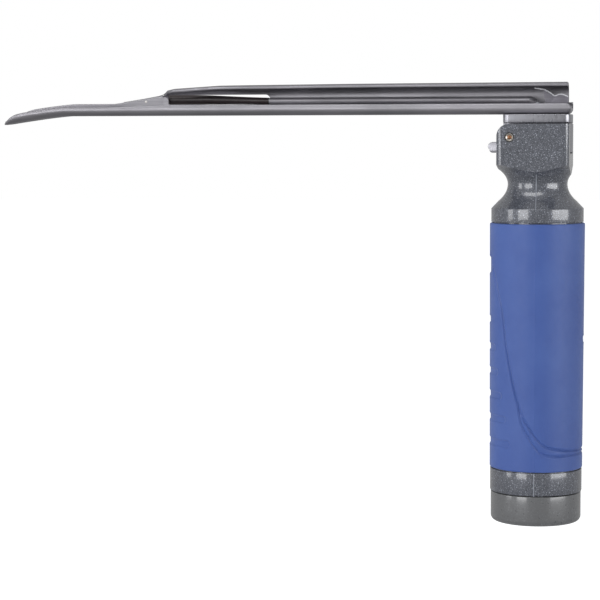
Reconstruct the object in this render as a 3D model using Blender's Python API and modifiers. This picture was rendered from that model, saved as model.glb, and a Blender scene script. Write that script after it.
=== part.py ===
"""A hook-on laryngoscope with a straight (Miller) blade, deployed on its battery handle.

World frame, in metres: the origin is the centre of the flat underside of the base cap, +Z runs up the
handle's axis, and the blade points to -X with its open side facing -Y.
"""
import math

import bmesh
import bpy
from mathutils import Matrix, Vector

MM = 0.001
GAP = 0.3 * MM                      # clearance between neighbouring pieces
EPS = 0.0001                        # merge distance
CUT = 5.0 * MM                      # how far a cutter reaches past what it cuts

# ---------------------------------------------------------------- driving dimensions: handle
CELL_R = 13.1 * MM                  # C cell: can radius and height, contact radius and height
CELL_CAN_H = 48.5 * MM
CELL_NUB_R = 3.2 * MM
CELL_NUB_H = 1.4 * MM
CELL_EDGE = 0.8 * MM
CELL_CLEARANCE = 0.4 * MM           # bore radius over the cell
STRIP_W = 2.8 * MM                  # return strip beside the cells
STRIP_CLEARANCE = 0.1 * MM
BODY_WALL = 1.0 * MM                # wall of the body under the sleeve
SLEEVE_T = 0.6 * MM                 # thickness of the sleeve at its lower end
SLEEVE_TAPER = 0.3 * MM             # extra radius at its upper end
SLEEVE_EDGE = 0.4 * MM
SLEEVE_OVER_CAP = 8.1 * MM          # foot of the sleeve over the cap's rim
COLLAR_STEP = 0.15 * MM             # the sleeve stands this much proud of the body
CAP_H = 10.0 * MM                   # outer height of the base cap
CAP_STEP = 0.25 * MM                # the cap is this much smaller in radius than the collar
CAP_FLOOR = 1.8 * MM
CAP_FILLET = 1.8 * MM
SPIGOT_H = 5.6 * MM                 # threaded spigot of the cap above its rim
SPIGOT_WALL = 0.6 * MM
THREAD_CLEARANCE = 0.4 * MM
THREAD_RIDGE = 0.2 * MM
THREAD_TURNS = 2
THREAD_LEAD = 2.0 * MM
THREAD_START = 1.0 * MM             # over the cap's rim
CONTACT_PLATE_T = 0.4 * MM
SEAL_T = 0.5 * MM
SEAL_CLEARANCE = 0.1 * MM
BATTERY_SPRING_H = 2.0 * MM
BATTERY_SPRING_R = (9.0 * MM, 5.0 * MM)
BATTERY_WIRE_R = 0.35 * MM
SHOULDER_OVER_CELL = 0.1 * MM       # the shoulder starts this far over the upper cell
SHOULDER_H = 4.6 * MM               # straight part between the sleeve and the shoulder
SHOULDER_EDGE = (0.3 * MM, 0.5 * MM)
NECK_R = 9.85 * MM
NECK_OVER_SHOULDER = 8.2 * MM
WAIST_FALL = 5.6 * MM               # height of the rounded part under the neck's waist
WAIST_AXES = (18.0 * MM, 10.0 * MM)
FLARE_AXES = (11.4 * MM, 7.1 * MM)  # the neck widens to the head along this quarter of an ellipse
HEAD_REAR = 11.0 * MM
HEAD_HALF_W = 12.0 * MM             # half width along Y
HEAD_CORNER = 1.7 * MM
HEAD_RISE = 2.3 * MM                # the squared head starts this far above the waist

# ---------------------------------------------------------------- driving dimensions: hook and lamp
PIN_OVER_NECK = 15.5 * MM
PIN_R = 1.5 * MM
PIN_CLEARANCE = 0.08 * MM
PIN_SETBACK = 0.2 * MM              # each end of the pin lies this far inside the head's face
FOLD_CLEARANCE = 0.2 * MM           # between the folded blade and the sleeve
EAR_R = 4.4 * MM                    # the ears are rounded about the pin
BLOCK_W = 11.8 * MM                 # the blade's heel block, across Y
BLOCK_SIDE_GAP = 0.4 * MM           # to each ear
BLOCK_UNDER = 5.1 * MM              # underside of the block below the pin
BEAK_REACH = 7.6 * MM               # the hook's beak, in front of the pin
BEAK_ROUND = 1.6 * MM
BEAK_CHAMFER = (1.8 * MM, 0.5 * MM)
RECESS_R = 9.4 * MM                 # room for the beak to swing in
RECESS_BACK = 5.2 * MM
LAMP_NOSE_R = 2.3 * MM
LAMP_LENS_R = 1.6 * MM
LAMP_FIT = 0.1 * MM
LAMP_LENS_SET = 0.2 * MM            # top of the lamp's dome below the plunger's nose
LAMP_BODY_R = 4.0 * MM
LAMP_BODY_H = 4.2 * MM
LAMP_TRAVEL = 1.5 * MM
LAMP_BORE_R = 5.2 * MM
LAMP_BORE_RISE = 5.0 * MM           # top of the lamp's bore over the waist
LAMP_SPRING_INSET = 0.8 * MM
LAMP_WIRE_R = 0.25 * MM
BOARD_T = 0.8 * MM
DISC_T = 0.6 * MM
DISC_R = 5.8 * MM
BALL_R = 1.2 * MM
BALL_X = 6.0 * MM
BALL_PROUD = 0.3 * MM               # out of the block's side
BALL_FIT = 0.1 * MM
DIMPLE_R = 0.9 * MM
DIMPLE_SET = 0.4 * MM
DETENT_SPRING_R = 0.85 * MM
DETENT_WIRE_R = 0.18 * MM

# ---------------------------------------------------------------- driving dimensions: blade
BLADE_LENGTH = 195.0 * MM           # heel to tip
PLATE_REAR = 11.1 * MM
PLATE_OVERHANG = 2.5 * MM           # in front of the pin
PLATE_T = 2.5 * MM
PLATE_W = 17.6 * MM
PLATE_CORNER = 2.0 * MM
SHEET_T = 1.0 * MM
HEEL_ROUND = 1.6 * MM               # the floor and lip end in this rounding at the heel
WEB_SETBACK = 1.4 * MM              # the web and flange stop this far short of the heel
BLADE_W = 14.6 * MM
LIP_H = 3.7 * MM                    # turned-up near edge, over the sheet's underside
LIP_LEAN = 0.25 * MM
LIP_ROUND = 1.7 * MM
LIP_TIP_H = 3.0 * MM                # the same edge along the shoe
LIP_RISE_FROM_TIP = 33.9 * MM
LIP_RISE_L = 25.0 * MM
FLANGE_H = 10.6 * MM                # top of the flange over the sheet's underside
FLANGE_W = 8.2 * MM                 # how far the flange curls back over the channel
FLANGE_ROUND = 3.2 * MM
FLANGE_SAG = 0.35 * MM
CURL_START_H = 7.0 * MM             # the flange curls where the edge is higher than this
WEB_ROUND = 2.6 * MM
SHOE_H = 4.4 * MM                   # height of the far edge in front of the lamp's exit
TIP_CURVE_L = 22.9 * MM             # here the tip begins to curve down
TIP_DROP = 2.95 * MM
TIP_ROUND = 9.0 * MM                # length of the rounded end in plan
WINDOW_FROM_TIP = 56.4 * MM
WINDOW_L = 35.8 * MM
WINDOW_H = 3.3 * MM
WINDOW_Z = 5.5 * MM                 # its centre over the sheet's underside
WINDOW_CORNER = 0.4 * MM
EDGE_RISE = (                       # from the window's front end, and the far edge's height over the underside
    (-19.2 * MM, SHOE_H), (-9.2 * MM, 5.9 * MM), (-3.2 * MM, 6.9 * MM), (-1.2 * MM, 7.6 * MM),
    (0.3 * MM, 8.6 * MM), (2.8 * MM, 9.2 * MM), (18.8 * MM, 10.1 * MM), (65.0 * MM, 10.4 * MM))
GUIDE_R = 0.8 * MM
GUIDE_FIT = 0.12 * MM
GUIDE_BEND = 3.4 * MM
GUIDE_Z = 4.9 * MM                  # axis of the light guide over the sheet's underside
GUIDE_FROM_WEB = 0.75 * MM
GUIDE_EXIT_FROM_TIP = 48.9 * MM
SHEATH_R = 1.15 * MM
SHEATH_END = 4.9 * MM               # the sheath stops this far in front of the handle's axis
JACKET_R = 1.65 * MM                # widest, near the exit
JACKET_END_R = 1.25 * MM
LENS_R = 1.2 * MM
LENS_T = 0.9 * MM
LENS_GAP = 0.2 * MM
RIVET_R = 1.2 * MM
RIVET_HEAD_R = 1.8 * MM
RIVET_HEAD_H = 0.7 * MM
RIVET_DEPTH = 1.2 * MM
RIVET_FIT = 0.15 * MM
RIVET_XS = (-7.4 * MM, 7.6 * MM)
BRACKET_T = 1.0 * MM
BRACKET_FROM_SHEATH = 0.3 * MM
BRACKET_X = (1.2 * MM, 9.9 * MM)
BRACKET_TOP = (                     # the stepped upper edge: x, and height over the sheet's underside
    (1.2 * MM, 8.2 * MM), (2.6 * MM, 7.8 * MM), (3.8 * MM, 7.0 * MM), (5.0 * MM, 6.2 * MM),
    (5.7 * MM, 6.25 * MM), (6.4 * MM, 6.6 * MM), (7.8 * MM, 6.55 * MM), (9.2 * MM, 5.9 * MM), (9.9 * MM, 5.4 * MM))
SEAT = 0.1 * MM                     # air under a piece that stands on the sheet or in its hole

# ---------------------------------------------------------------- sizes that follow from these
BORE_R = CELL_R + CELL_CLEARANCE
BODY_R = BORE_R + BODY_WALL                         # under the sleeve
SLEEVE_IN_R = BODY_R + GAP
SLEEVE_OUT_R = SLEEVE_IN_R + SLEEVE_T
COLLAR_R = SLEEVE_OUT_R - COLLAR_STEP
CAP_R = COLLAR_R - CAP_STEP
SLEEVE_BOTTOM_Z = CAP_H + SLEEVE_OVER_CAP
BODY_BOTTOM_Z = CAP_H + GAP
SPIGOT_R = BORE_R + SPIGOT_WALL
THREAD_BORE_R = SPIGOT_R + THREAD_CLEARANCE
SPIGOT_TOP_Z = BODY_BOTTOM_Z + SPIGOT_H
CONTACT_PLATE_Z = CAP_FLOOR + GAP
BATTERY_SPRING_Z = CONTACT_PLATE_Z + CONTACT_PLATE_T + GAP
CELL_LOWER_Z = BATTERY_SPRING_Z + BATTERY_SPRING_H + GAP
CELL_UPPER_Z = CELL_LOWER_Z + CELL_CAN_H + CELL_NUB_H + 2 * GAP
CELL_TOP_Z = CELL_UPPER_Z + CELL_CAN_H
BORE_TOP_Z = CELL_TOP_Z + GAP
DISC_Z = CELL_TOP_Z + CELL_NUB_H + 2 * GAP
DISC_BORE_R = DISC_R + 2 * GAP
DISC_BORE_TOP_Z = DISC_Z + DISC_T + GAP
SHOULDER_Z = CELL_TOP_Z + SHOULDER_OVER_CELL
SLEEVE_TOP_Z = SHOULDER_Z - SHOULDER_H
NECK_Z = SHOULDER_Z + NECK_OVER_SHOULDER
HEAD_BOTTOM_Z = NECK_Z + HEAD_RISE
LAMP_BORE_TOP_Z = NECK_Z + LAMP_BORE_RISE
PIN_Z = NECK_Z + PIN_OVER_NECK
SLOT_HALF_W = BLOCK_W / 2 + BLOCK_SIDE_GAP
EAR_TOP_Z = PIN_Z + EAR_R
BLOCK_BOTTOM_Z = PIN_Z - BLOCK_UNDER
SLOT_FLOOR_Z = BLOCK_BOTTOM_Z - GAP
PLATE_Z = EAR_TOP_Z + GAP
PLATE_TOP_Z = PLATE_Z + PLATE_T
SHEET_Z = PLATE_TOP_Z + GAP                         # underside of the blade's sheet
PIN_X = (SHEET_Z - PIN_Z) - (SLEEVE_OUT_R + SLEEVE_TAPER + FOLD_CLEARANCE)
PLATE_FRONT = PLATE_OVERHANG - PIN_X
HEAD_FRONT = EAR_R - PIN_X
NOTCH_R = PIN_R + PIN_CLEARANCE
BLADE_HEEL_X = PLATE_REAR
BLADE_TIP_X = BLADE_HEEL_X - BLADE_LENGTH
TIP_START_X = BLADE_TIP_X + TIP_CURVE_L
WINDOW_X0 = BLADE_TIP_X + WINDOW_FROM_TIP
WINDOW_X1 = WINDOW_X0 + WINDOW_L
WEB_Y = BLADE_W / 2                                 # outer face of the web, on the far side
GUIDE_EXIT_X = BLADE_TIP_X + GUIDE_EXIT_FROM_TIP
GUIDE_Y = WEB_Y - SHEET_T - SHEATH_R - GUIDE_FROM_WEB
GUIDE_AXIS_Z = SHEET_Z + GUIDE_Z
INLET_R = LAMP_NOSE_R - 2 * GAP

parts = None
cutters = None
SEGMENTS = 48


# ---------------------------------------------------------------- helpers
def clear_scene():
    for obj in list(bpy.data.objects):
        bpy.data.objects.remove(obj, do_unlink=True)


def collection(name):
    made = bpy.data.collections.new(name)
    bpy.context.scene.collection.children.link(made)
    return made


def material(name, colour, roughness=0.4, metallic=0.0):
    made = bpy.data.materials.new(name)
    made.use_nodes = True
    shader = made.node_tree.nodes["Principled BSDF"]
    shader.inputs["Base Color"].default_value = (*colour, 1.0)
    shader.inputs["Roughness"].default_value = roughness
    shader.inputs["Metallic"].default_value = metallic
    return made


def add_mesh(name, bm, mat=None):
    """Turn a bmesh into an object in the parts' collection, shaded smooth between sharp edges."""
    bmesh.ops.recalc_face_normals(bm, faces=bm.faces[:])
    mesh = bpy.data.meshes.new(name)
    bm.to_mesh(mesh)
    bm.free()
    mesh.shade_smooth()
    mesh.set_sharp_from_angle(angle=math.radians(35))
    obj = bpy.data.objects.new(name, mesh)
    parts.objects.link(obj)
    if mat:
        mesh.materials.append(mat)
    return obj


def as_cutter(obj):
    parts.objects.unlink(obj)
    cutters.objects.link(obj)
    obj.hide_render = True
    obj.display_type = "WIRE"
    return obj


def boolean(obj, tool, operation="DIFFERENCE"):
    mod = obj.modifiers.new(operation.lower(), "BOOLEAN")
    mod.operation = operation
    mod.solver = "EXACT"
    mod.object = tool
    return mod


def turned(name, profile, mat=None, steps=SEGMENTS, place=(0.0, 0.0, 0.0), along_x=False):
    """A closed (radius, height) profile turned about an upright axis, or about X, by a Screw modifier."""
    bm = bmesh.new()
    verts = [bm.verts.new((r, 0.0, z)) for r, z in profile]
    for a, b in zip(verts, verts[1:]):
        bm.edges.new((a, b))
    if profile[0][0] > EPS:                          # a ring: the profile closes on itself
        bm.edges.new((verts[-1], verts[0]))
    mesh = bpy.data.meshes.new(name)
    bm.to_mesh(mesh)
    bm.free()
    obj = bpy.data.objects.new(name, mesh)
    parts.objects.link(obj)
    obj.location = place
    if along_x:
        obj.rotation_euler = (0.0, math.pi / 2, 0.0)
    screw = obj.modifiers.new("turn", "SCREW")
    screw.axis = "Z"
    screw.angle = 2 * math.pi
    screw.steps = steps
    screw.render_steps = steps
    screw.use_merge_vertices = True
    screw.merge_threshold = EPS / 10
    screw.use_smooth_shade = True
    if mat:
        mesh.materials.append(mat)
    return obj


def rod(name, radius, start, end, mat=None, segments=24):
    """A straight cylinder from one point to another, with its origin half way."""
    a, b = Vector(start), Vector(end)
    bm = bmesh.new()
    bmesh.ops.create_cone(
        bm, cap_ends=True, segments=segments, radius1=radius, radius2=radius, depth=(b - a).length)
    obj = add_mesh(name, bm, mat)
    obj.location = (a + b) / 2
    obj.rotation_euler = (b - a).to_track_quat("Z", "Y").to_euler()
    return obj


def ball(name, radius, centre, mat=None):
    bm = bmesh.new()
    bmesh.ops.create_uvsphere(bm, u_segments=16, v_segments=10, radius=radius)
    obj = add_mesh(name, bm, mat)
    obj.location = centre
    return obj


def box(name, low, high, mat=None, corner=0.0, segments=4):
    """A box between two corners, with its upright edges rounded."""
    low, high = Vector(low), Vector(high)
    bm = bmesh.new()
    bmesh.ops.create_cube(bm, size=1.0, matrix=Matrix.Diagonal((*(high - low), 1.0)))
    if corner:
        upright = [e for e in bm.edges if abs((e.verts[0].co - e.verts[1].co).z) > MM]
        bmesh.ops.bevel(bm, geom=upright, offset=corner, segments=segments, affect="EDGES", profile=0.5)
    obj = add_mesh(name, bm, mat)
    obj.location = (low + high) / 2
    return obj


def add_curve(name, points, mat, flat, closed):
    """A curve object with one straight-sided spline."""
    curve = bpy.data.curves.new(name, "CURVE")
    curve.dimensions = "2D" if flat else "3D"
    spline = curve.splines.new("POLY")
    spline.points.add(len(points) - 1)
    for knot, point in zip(spline.points, points):
        knot.co = (*point, 1.0)
    spline.use_cyclic_u = closed
    if mat:
        curve.materials.append(mat)
    obj = bpy.data.objects.new(name, curve)
    parts.objects.link(obj)
    return obj


def wire(name, points, radius, mat=None):
    """A round bar along a list of points, with filled ends."""
    obj = add_curve(name, points, mat, flat=False, closed=False)
    obj.data.bevel_depth = radius
    obj.data.bevel_resolution = 2
    obj.data.use_fill_caps = True
    return obj


def plate_xz(name, outline, y0, y1, mat=None):
    """A flat outline in XZ, as thick as from y0 to y1."""
    obj = add_curve(name, [(x, z, 0.0) for x, z in outline], mat, flat=True, closed=True)
    obj.data.fill_mode = "BOTH"
    obj.data.extrude = (y1 - y0) / 2
    obj.rotation_euler = (math.pi / 2, 0.0, 0.0)
    obj.location = (0.0, (y0 + y1) / 2, 0.0)
    return obj


def as_mesh(curve):
    """The curve as a mesh in the same place, with its ends welded on."""
    graph = bpy.context.evaluated_depsgraph_get()
    mesh = bpy.data.meshes.new_from_object(curve.evaluated_get(graph))
    name, place = curve.name, curve.matrix_world.copy()
    bpy.data.objects.remove(curve, do_unlink=True)
    bm = bmesh.new()
    bm.from_mesh(mesh)
    bmesh.ops.remove_doubles(bm, verts=bm.verts[:], dist=EPS / 10)
    bmesh.ops.recalc_face_normals(bm, faces=bm.faces[:])
    bm.to_mesh(mesh)
    bm.free()
    obj = bpy.data.objects.new(name, mesh)
    parts.objects.link(obj)
    obj.matrix_world = place
    return obj


def arc(centre, radius, start, end, count):
    """Points of an arc, or of an ellipse's where radius is a pair, in a plane, angles in degrees."""
    wide, tall = radius if isinstance(radius, tuple) else (radius, radius)
    out = []
    for i in range(count + 1):
        a = math.radians(start + (end - start) * i / count)
        out.append((centre[0] + wide * math.cos(a), centre[1] + tall * math.sin(a)))
    return out


def coil(name, centre, axis, radii, height, turns, wire_r, mat, per_turn=14):
    """A compression spring along Z or Y: a helix between two radii."""
    points = []
    total = turns * per_turn
    for i in range(total + 1):
        t = i / total
        a = 2 * math.pi * turns * t
        r = radii[0] + (radii[1] - radii[0]) * t
        rise = wire_r + (height - 2 * wire_r) * t
        x, y = r * math.cos(a), r * math.sin(a)
        points.append((x, y, rise) if axis == "Z" else (x, rise, y))
    obj = wire(name, points, wire_r, mat)
    obj.location = centre
    return obj


def parent_to(empty, objects):
    """Parent objects to an empty and leave them where they are."""
    for obj in objects:
        obj.parent = empty
        obj.matrix_parent_inverse = Matrix.Translation(-empty.location)


def smooth_step(t):
    t = max(0.0, min(1.0, t))
    return t * t * (3 - 2 * t)


# ---------------------------------------------------------------- handle
def make_base_cap(mat):
    profile = [(0.0, CAP_FLOOR), (BORE_R, CAP_FLOOR), (BORE_R, SPIGOT_TOP_Z), (SPIGOT_R, SPIGOT_TOP_Z),
               (SPIGOT_R, CAP_H), (CAP_R, CAP_H)]
    profile += arc((CAP_R - CAP_FILLET, CAP_FILLET), CAP_FILLET, 0, -90, 5)
    profile.append((0.0, 0.0))
    cap = turned("base_cap", profile, mat)
    per_turn = SEGMENTS // 2
    points = []
    for i in range(THREAD_TURNS * per_turn + 1):
        a = 2 * math.pi * i / per_turn
        rise = THREAD_LEAD * i / per_turn
        points.append((SPIGOT_R * math.cos(a), SPIGOT_R * math.sin(a), CAP_H + THREAD_START + rise))
    boolean(cap, as_cutter(as_mesh(wire("thread_form", points, THREAD_RIDGE))), "UNION")
    return cap


def body_profile():
    """The body's outside from the head down: flare, waisted neck, shoulder, seat of the sleeve and collar."""
    rise, run = FLARE_AXES[1], FLARE_AXES[0]
    profile = [(0.0, EAR_TOP_Z), (NECK_R + run, EAR_TOP_Z)]
    profile += arc((NECK_R + run, NECK_Z), (run, rise), 90, 180, 9)
    ends = math.degrees(math.asin(WAIST_FALL / WAIST_AXES[1]))
    profile += arc((NECK_R + WAIST_AXES[0], NECK_Z), WAIST_AXES, 180, 180 + ends, 6)[1:]
    profile += [(COLLAR_R - SHOULDER_EDGE[0], SHOULDER_Z + SHOULDER_EDGE[1]), (COLLAR_R, SHOULDER_Z)]
    profile += [(COLLAR_R, SLEEVE_TOP_Z + GAP), (BODY_R, SLEEVE_TOP_Z + GAP),
                (BODY_R, SLEEVE_BOTTOM_Z - GAP), (COLLAR_R, SLEEVE_BOTTOM_Z - GAP),
                (COLLAR_R, BODY_BOTTOM_Z), (0.0, BODY_BOTTOM_Z)]
    return profile


def cut_head(body):
    """Square off the flare: the body is kept where it is below the head or inside the head's block."""
    overlap = HEAD_RISE
    head = box("head_form", (-HEAD_FRONT, -HEAD_HALF_W, HEAD_BOTTOM_Z - overlap),
               (HEAD_REAR, HEAD_HALF_W, EAR_TOP_Z + CUT), corner=HEAD_CORNER, segments=5)
    as_cutter(head)
    reach = COLLAR_R + CUT
    below = turned("below_head_form", [
        (0.0, HEAD_BOTTOM_Z), (reach, HEAD_BOTTOM_Z), (reach, -MM), (0.0, -MM)])
    boolean(head, as_cutter(below), "UNION")
    boolean(body, head, "INTERSECT")


def cut_bore(body):
    """Room for the cells, the contact disc and the lamp, and a hole for the lamp's nose."""
    bore = turned("bore_form", [
        (0.0, LAMP_BORE_TOP_Z), (LAMP_BORE_R, LAMP_BORE_TOP_Z), (LAMP_BORE_R, DISC_BORE_TOP_Z),
        (DISC_BORE_R, DISC_BORE_TOP_Z), (DISC_BORE_R, BORE_TOP_Z), (BORE_R, BORE_TOP_Z),
        (BORE_R, SPIGOT_TOP_Z + GAP), (THREAD_BORE_R, SPIGOT_TOP_Z + GAP),
        (THREAD_BORE_R, BODY_BOTTOM_Z - MM), (0.0, BODY_BOTTOM_Z - MM)])
    boolean(body, as_cutter(bore))
    nose = rod("nose_form", LAMP_NOSE_R + GAP, (0, 0, LAMP_BORE_TOP_Z - MM), (0, 0, SLOT_FLOOR_Z + MM))
    boolean(body, as_cutter(nose))


def cut_fork(body):
    """The slot between the ears, the beak's recess, the rounded ears, the pin's hole and the detent dimples."""
    pin = (PIN_X, PIN_Z)
    reach = HEAD_FRONT + CUT
    slot = [(-reach, SLOT_FLOOR_Z), (reach, SLOT_FLOOR_Z), (reach, EAR_TOP_Z + MM), (-reach, EAR_TOP_Z + MM)]
    boolean(body, as_cutter(as_mesh(plate_xz("slot_form", slot, -SLOT_HALF_W, SLOT_HALF_W))))
    back = math.degrees(math.acos(RECESS_BACK / RECESS_R))
    recess = arc(pin, RECESS_R, -back, -180, 20)
    recess += [(-reach, PIN_Z), (-reach, PIN_Z + MM), (PIN_X + RECESS_BACK, PIN_Z + MM)]
    swing = SLOT_HALF_W - 0.01 * MM                  # just inside the slot's sides, so the faces don't coincide
    boolean(body, as_cutter(as_mesh(plate_xz("recess_form", recess, -swing, swing))))
    corner = arc(pin, EAR_R, 180, 90, 10)
    corner += [(PIN_X, EAR_TOP_Z + MM), (-reach, EAR_TOP_Z + MM), (-reach, PIN_Z)]
    boolean(body, as_cutter(as_mesh(plate_xz("ear_round_form", corner, -reach, reach))))
    hole = rod("pin_hole_form", PIN_R + PIN_CLEARANCE, (PIN_X, -reach, PIN_Z), (PIN_X, reach, PIN_Z))
    boolean(body, as_cutter(hole))
    for side in (-1, 1):
        dimple = ball("dimple_form", DIMPLE_R, (BALL_X, side * (SLOT_HALF_W + DIMPLE_SET), PIN_Z))
        boolean(body, as_cutter(dimple))


def make_handle_body(mat):
    """The body: a tube for the cells, a waisted neck and a forked head, in one piece."""
    body = turned("handle_body", body_profile(), mat)
    cut_head(body)
    cut_bore(body)
    cut_fork(body)
    return body


def make_grip_sleeve(mat):
    top = SLEEVE_OUT_R + SLEEVE_TAPER
    ease = min(SLEEVE_EDGE, SLEEVE_T * 0.7)
    profile = [(SLEEVE_IN_R, SLEEVE_TOP_Z), (top - ease, SLEEVE_TOP_Z), (top, SLEEVE_TOP_Z - ease),
               (SLEEVE_OUT_R, SLEEVE_BOTTOM_Z + ease), (SLEEVE_OUT_R - ease, SLEEVE_BOTTOM_Z),
               (SLEEVE_IN_R, SLEEVE_BOTTOM_Z)]
    return turned("grip_sleeve", profile, mat, steps=64)


def make_hook_pin(mat):
    half = HEAD_HALF_W - PIN_SETBACK
    return rod("hook_pin", PIN_R, (PIN_X, -half, PIN_Z), (PIN_X, half, PIN_Z), mat)


def make_cell(name, base_z, can_mat, metal):
    """One C cell: the can, and the contact cap that sits on it."""
    top = base_z + CELL_CAN_H
    edge = CELL_EDGE
    turned(name, [
        (0.0, top), (CELL_R - edge, top), (CELL_R, top - edge), (CELL_R, base_z + edge),
        (CELL_R - edge, base_z), (0.0, base_z)], can_mat, steps=32)
    low, high = top + GAP, top + CELL_NUB_H
    edge = SEAL_CLEARANCE * 3
    turned(name + "_terminal", [
        (0.0, high), (CELL_NUB_R - edge, high), (CELL_NUB_R, high - edge), (CELL_NUB_R, low),
        (0.0, low)], metal, steps=24)


def make_return_strip(mat):
    """A thin brass strip down the bore, which carries the current back past the cells."""
    inner, outer = CELL_R + STRIP_CLEARANCE, BORE_R - STRIP_CLEARANCE
    low, high = SPIGOT_TOP_Z + 2 * GAP, CELL_TOP_Z - MM
    strip = turned("return_strip", [(inner, high), (outer, high), (outer, low), (inner, low)], mat, steps=96)
    width = box("strip_form", (0, -STRIP_W / 2, low - MM), (outer + MM, STRIP_W / 2, high + MM))
    boolean(strip, as_cutter(width), "INTERSECT")
    return strip


def make_lamp_cartridge(brass, steel, board, clear):
    """The sprung lamp plunger whose nose meets the blade's light inlet."""
    nose_top = SLOT_FLOOR_Z + LAMP_FIT
    body_top = LAMP_BORE_TOP_Z - LAMP_TRAVEL - GAP
    body_low = body_top - LAMP_BODY_H
    hollow_r = LAMP_LENS_R + LAMP_FIT
    turned("lamp_plunger", [
        (hollow_r, nose_top), (LAMP_NOSE_R, nose_top), (LAMP_NOSE_R, body_top), (LAMP_BODY_R, body_top),
        (LAMP_BODY_R, body_low), (hollow_r, body_low)], brass, steps=24)
    dome = arc((0.0, nose_top - LAMP_LENS_R - LAMP_LENS_SET), LAMP_LENS_R, 90, 0, 6)
    low = body_low + MM
    profile = [(max(r, 0.0), z) for r, z in dome]
    turned("lamp", profile + [(LAMP_LENS_R, low), (0.0, low)], clear, steps=24)

    board_z = DISC_BORE_TOP_Z + GAP
    board_top = board_z + BOARD_T
    board_r = LAMP_BORE_R - GAP
    turned("lamp_board", [(0.0, board_top), (board_r, board_top), (board_r, board_z), (0.0, board_z)],
           board, steps=24)
    spring_z = board_top + GAP
    radius = LAMP_BODY_R - LAMP_SPRING_INSET
    height = body_low - GAP - spring_z
    coil("lamp_spring", (0, 0, spring_z), "Z", (radius, radius), height, 2, LAMP_WIRE_R, steel)
    inner, outer = LAMP_BODY_R + GAP, LAMP_BORE_R - GAP / 2
    high = body_top + LAMP_TRAVEL / 3
    turned("lamp_bush", [(inner, high), (outer, high), (outer, body_low), (inner, body_low)], steel, steps=24)
    top = DISC_Z + DISC_T
    turned("contact_disc", [(0.0, top), (DISC_R, top), (DISC_R, DISC_Z), (0.0, DISC_Z)], brass, steps=24)


def make_cap_contacts(brass, steel, rubber):
    top = CONTACT_PLATE_Z + CONTACT_PLATE_T
    radius = BORE_R - MM
    turned("cap_contact_plate", [
        (0.0, top), (radius, top), (radius, CONTACT_PLATE_Z), (0.0, CONTACT_PLATE_Z)], brass, steps=32)
    coil("battery_spring", (0, 0, BATTERY_SPRING_Z), "Z", BATTERY_SPRING_R, BATTERY_SPRING_H, 2,
         BATTERY_WIRE_R, steel)
    inner, outer = SPIGOT_R + SEAL_CLEARANCE, THREAD_BORE_R - SEAL_CLEARANCE
    low = CAP_H + SEAL_CLEARANCE / 2
    high = low + SEAL_T
    turned("cap_seal", [(inner, high), (outer, high), (outer, low), (inner, low)], rubber, steps=32)


# ---------------------------------------------------------------- blade
def edge_height(x):
    """Height of the far edge over the sheet's underside: shoe, ramp up to the flange, then the flange."""
    rise = [(WINDOW_X0 + along, height) for along, height in EDGE_RISE]
    rise.append((BLADE_HEEL_X, FLANGE_H))
    if x <= rise[0][0]:
        return SHOE_H
    for (xa, ha), (xb, hb) in zip(rise, rise[1:]):
        if x <= xb:
            return ha + (hb - ha) * (x - xa) / (xb - xa)
    return FLANGE_H


def lip_height(x):
    """Height of the near edge over the sheet's underside, lower along the shoe."""
    start = BLADE_TIP_X + LIP_RISE_FROM_TIP
    return LIP_TIP_H + (LIP_H - LIP_TIP_H) * smooth_step((x - start) / LIP_RISE_L)


def heel_share(x):
    """Share of its height that the section keeps where the heel is rounded off."""
    past = max(0.0, x - BLADE_HEEL_X + HEEL_ROUND) / HEEL_ROUND
    return math.sqrt(max(0.06, 1 - past ** 2))


def tip_shape(x):
    """Drop of the sheet, plan width share and edge height share towards the tip."""
    past = max(0.0, TIP_START_X - x) / (TIP_START_X - BLADE_TIP_X)
    drop = TIP_DROP * past ** 1.25
    near_end = max(0.0, BLADE_TIP_X + TIP_ROUND - x) / TIP_ROUND
    width = max(0.22, math.sqrt(max(0.0, 1 - near_end ** 2.4)))
    height = max(0.0, 1 - near_end ** 2.2)
    return drop, width, height


def channel_path(x):
    """The mid line of the sheet's section at x, from the near lip round to the flange's rim."""
    drop, width, tall = tip_shape(x)
    half = BLADE_W / 2 - SHEET_T / 2
    floor = SHEET_T / 2
    least = 0.05 * MM
    lip = max(floor + 7 * least * tall, (lip_height(x) - floor) * tall)
    top = max(lip * 0.99, (edge_height(x) - floor) * tall)
    curl = FLANGE_W * smooth_step((edge_height(x) - CURL_START_H) / (FLANGE_H - CURL_START_H))
    near_r = min(LIP_ROUND, lip - floor + least)
    far_r = min(WEB_ROUND, top - floor + least)
    points = [(-half + LIP_LEAN * tall, lip)]
    points += arc((-half + near_r, floor + near_r), near_r, 180, 270, 5)
    points += [(-half * 0.35, floor), (half * 0.25, floor)]
    points += arc((half - far_r, floor + far_r), far_r, 270, 360, 6)
    if curl > 6 * least:
        rise = min(FLANGE_ROUND, curl)
        reach = half - curl
        points += [(half, (floor + far_r + top - rise) / 2), (half, top - rise)]
        points += arc((half - rise, top - rise), rise, 0, 90, 6)[1:]
        points += [((half - rise + reach) / 2, top), (reach, top - FLANGE_SAG)]
    else:
        foot = points[-1]
        straight = 10
        for i in range(1, straight + 1):
            t = i / straight
            points.append((foot[0] - 2 * least * t, foot[1] + max(top - foot[1], least) * t))
    middle = LIP_H / 2
    keep = heel_share(x)
    return [Vector((y * width, SHEET_Z - drop + middle + (z - middle) * keep)) for y, z in points]


def spread(start, end, count):
    """Values from after start up to end, evenly spaced."""
    return [start + (end - start) * i / count for i in range(1, count + 1)]


def eased(start, end, count):
    """Values from after start up to end, closer together towards the end."""
    return [start + (end - start) * math.sin(math.pi / 2 * i / count) for i in range(1, count + 1)]


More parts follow.
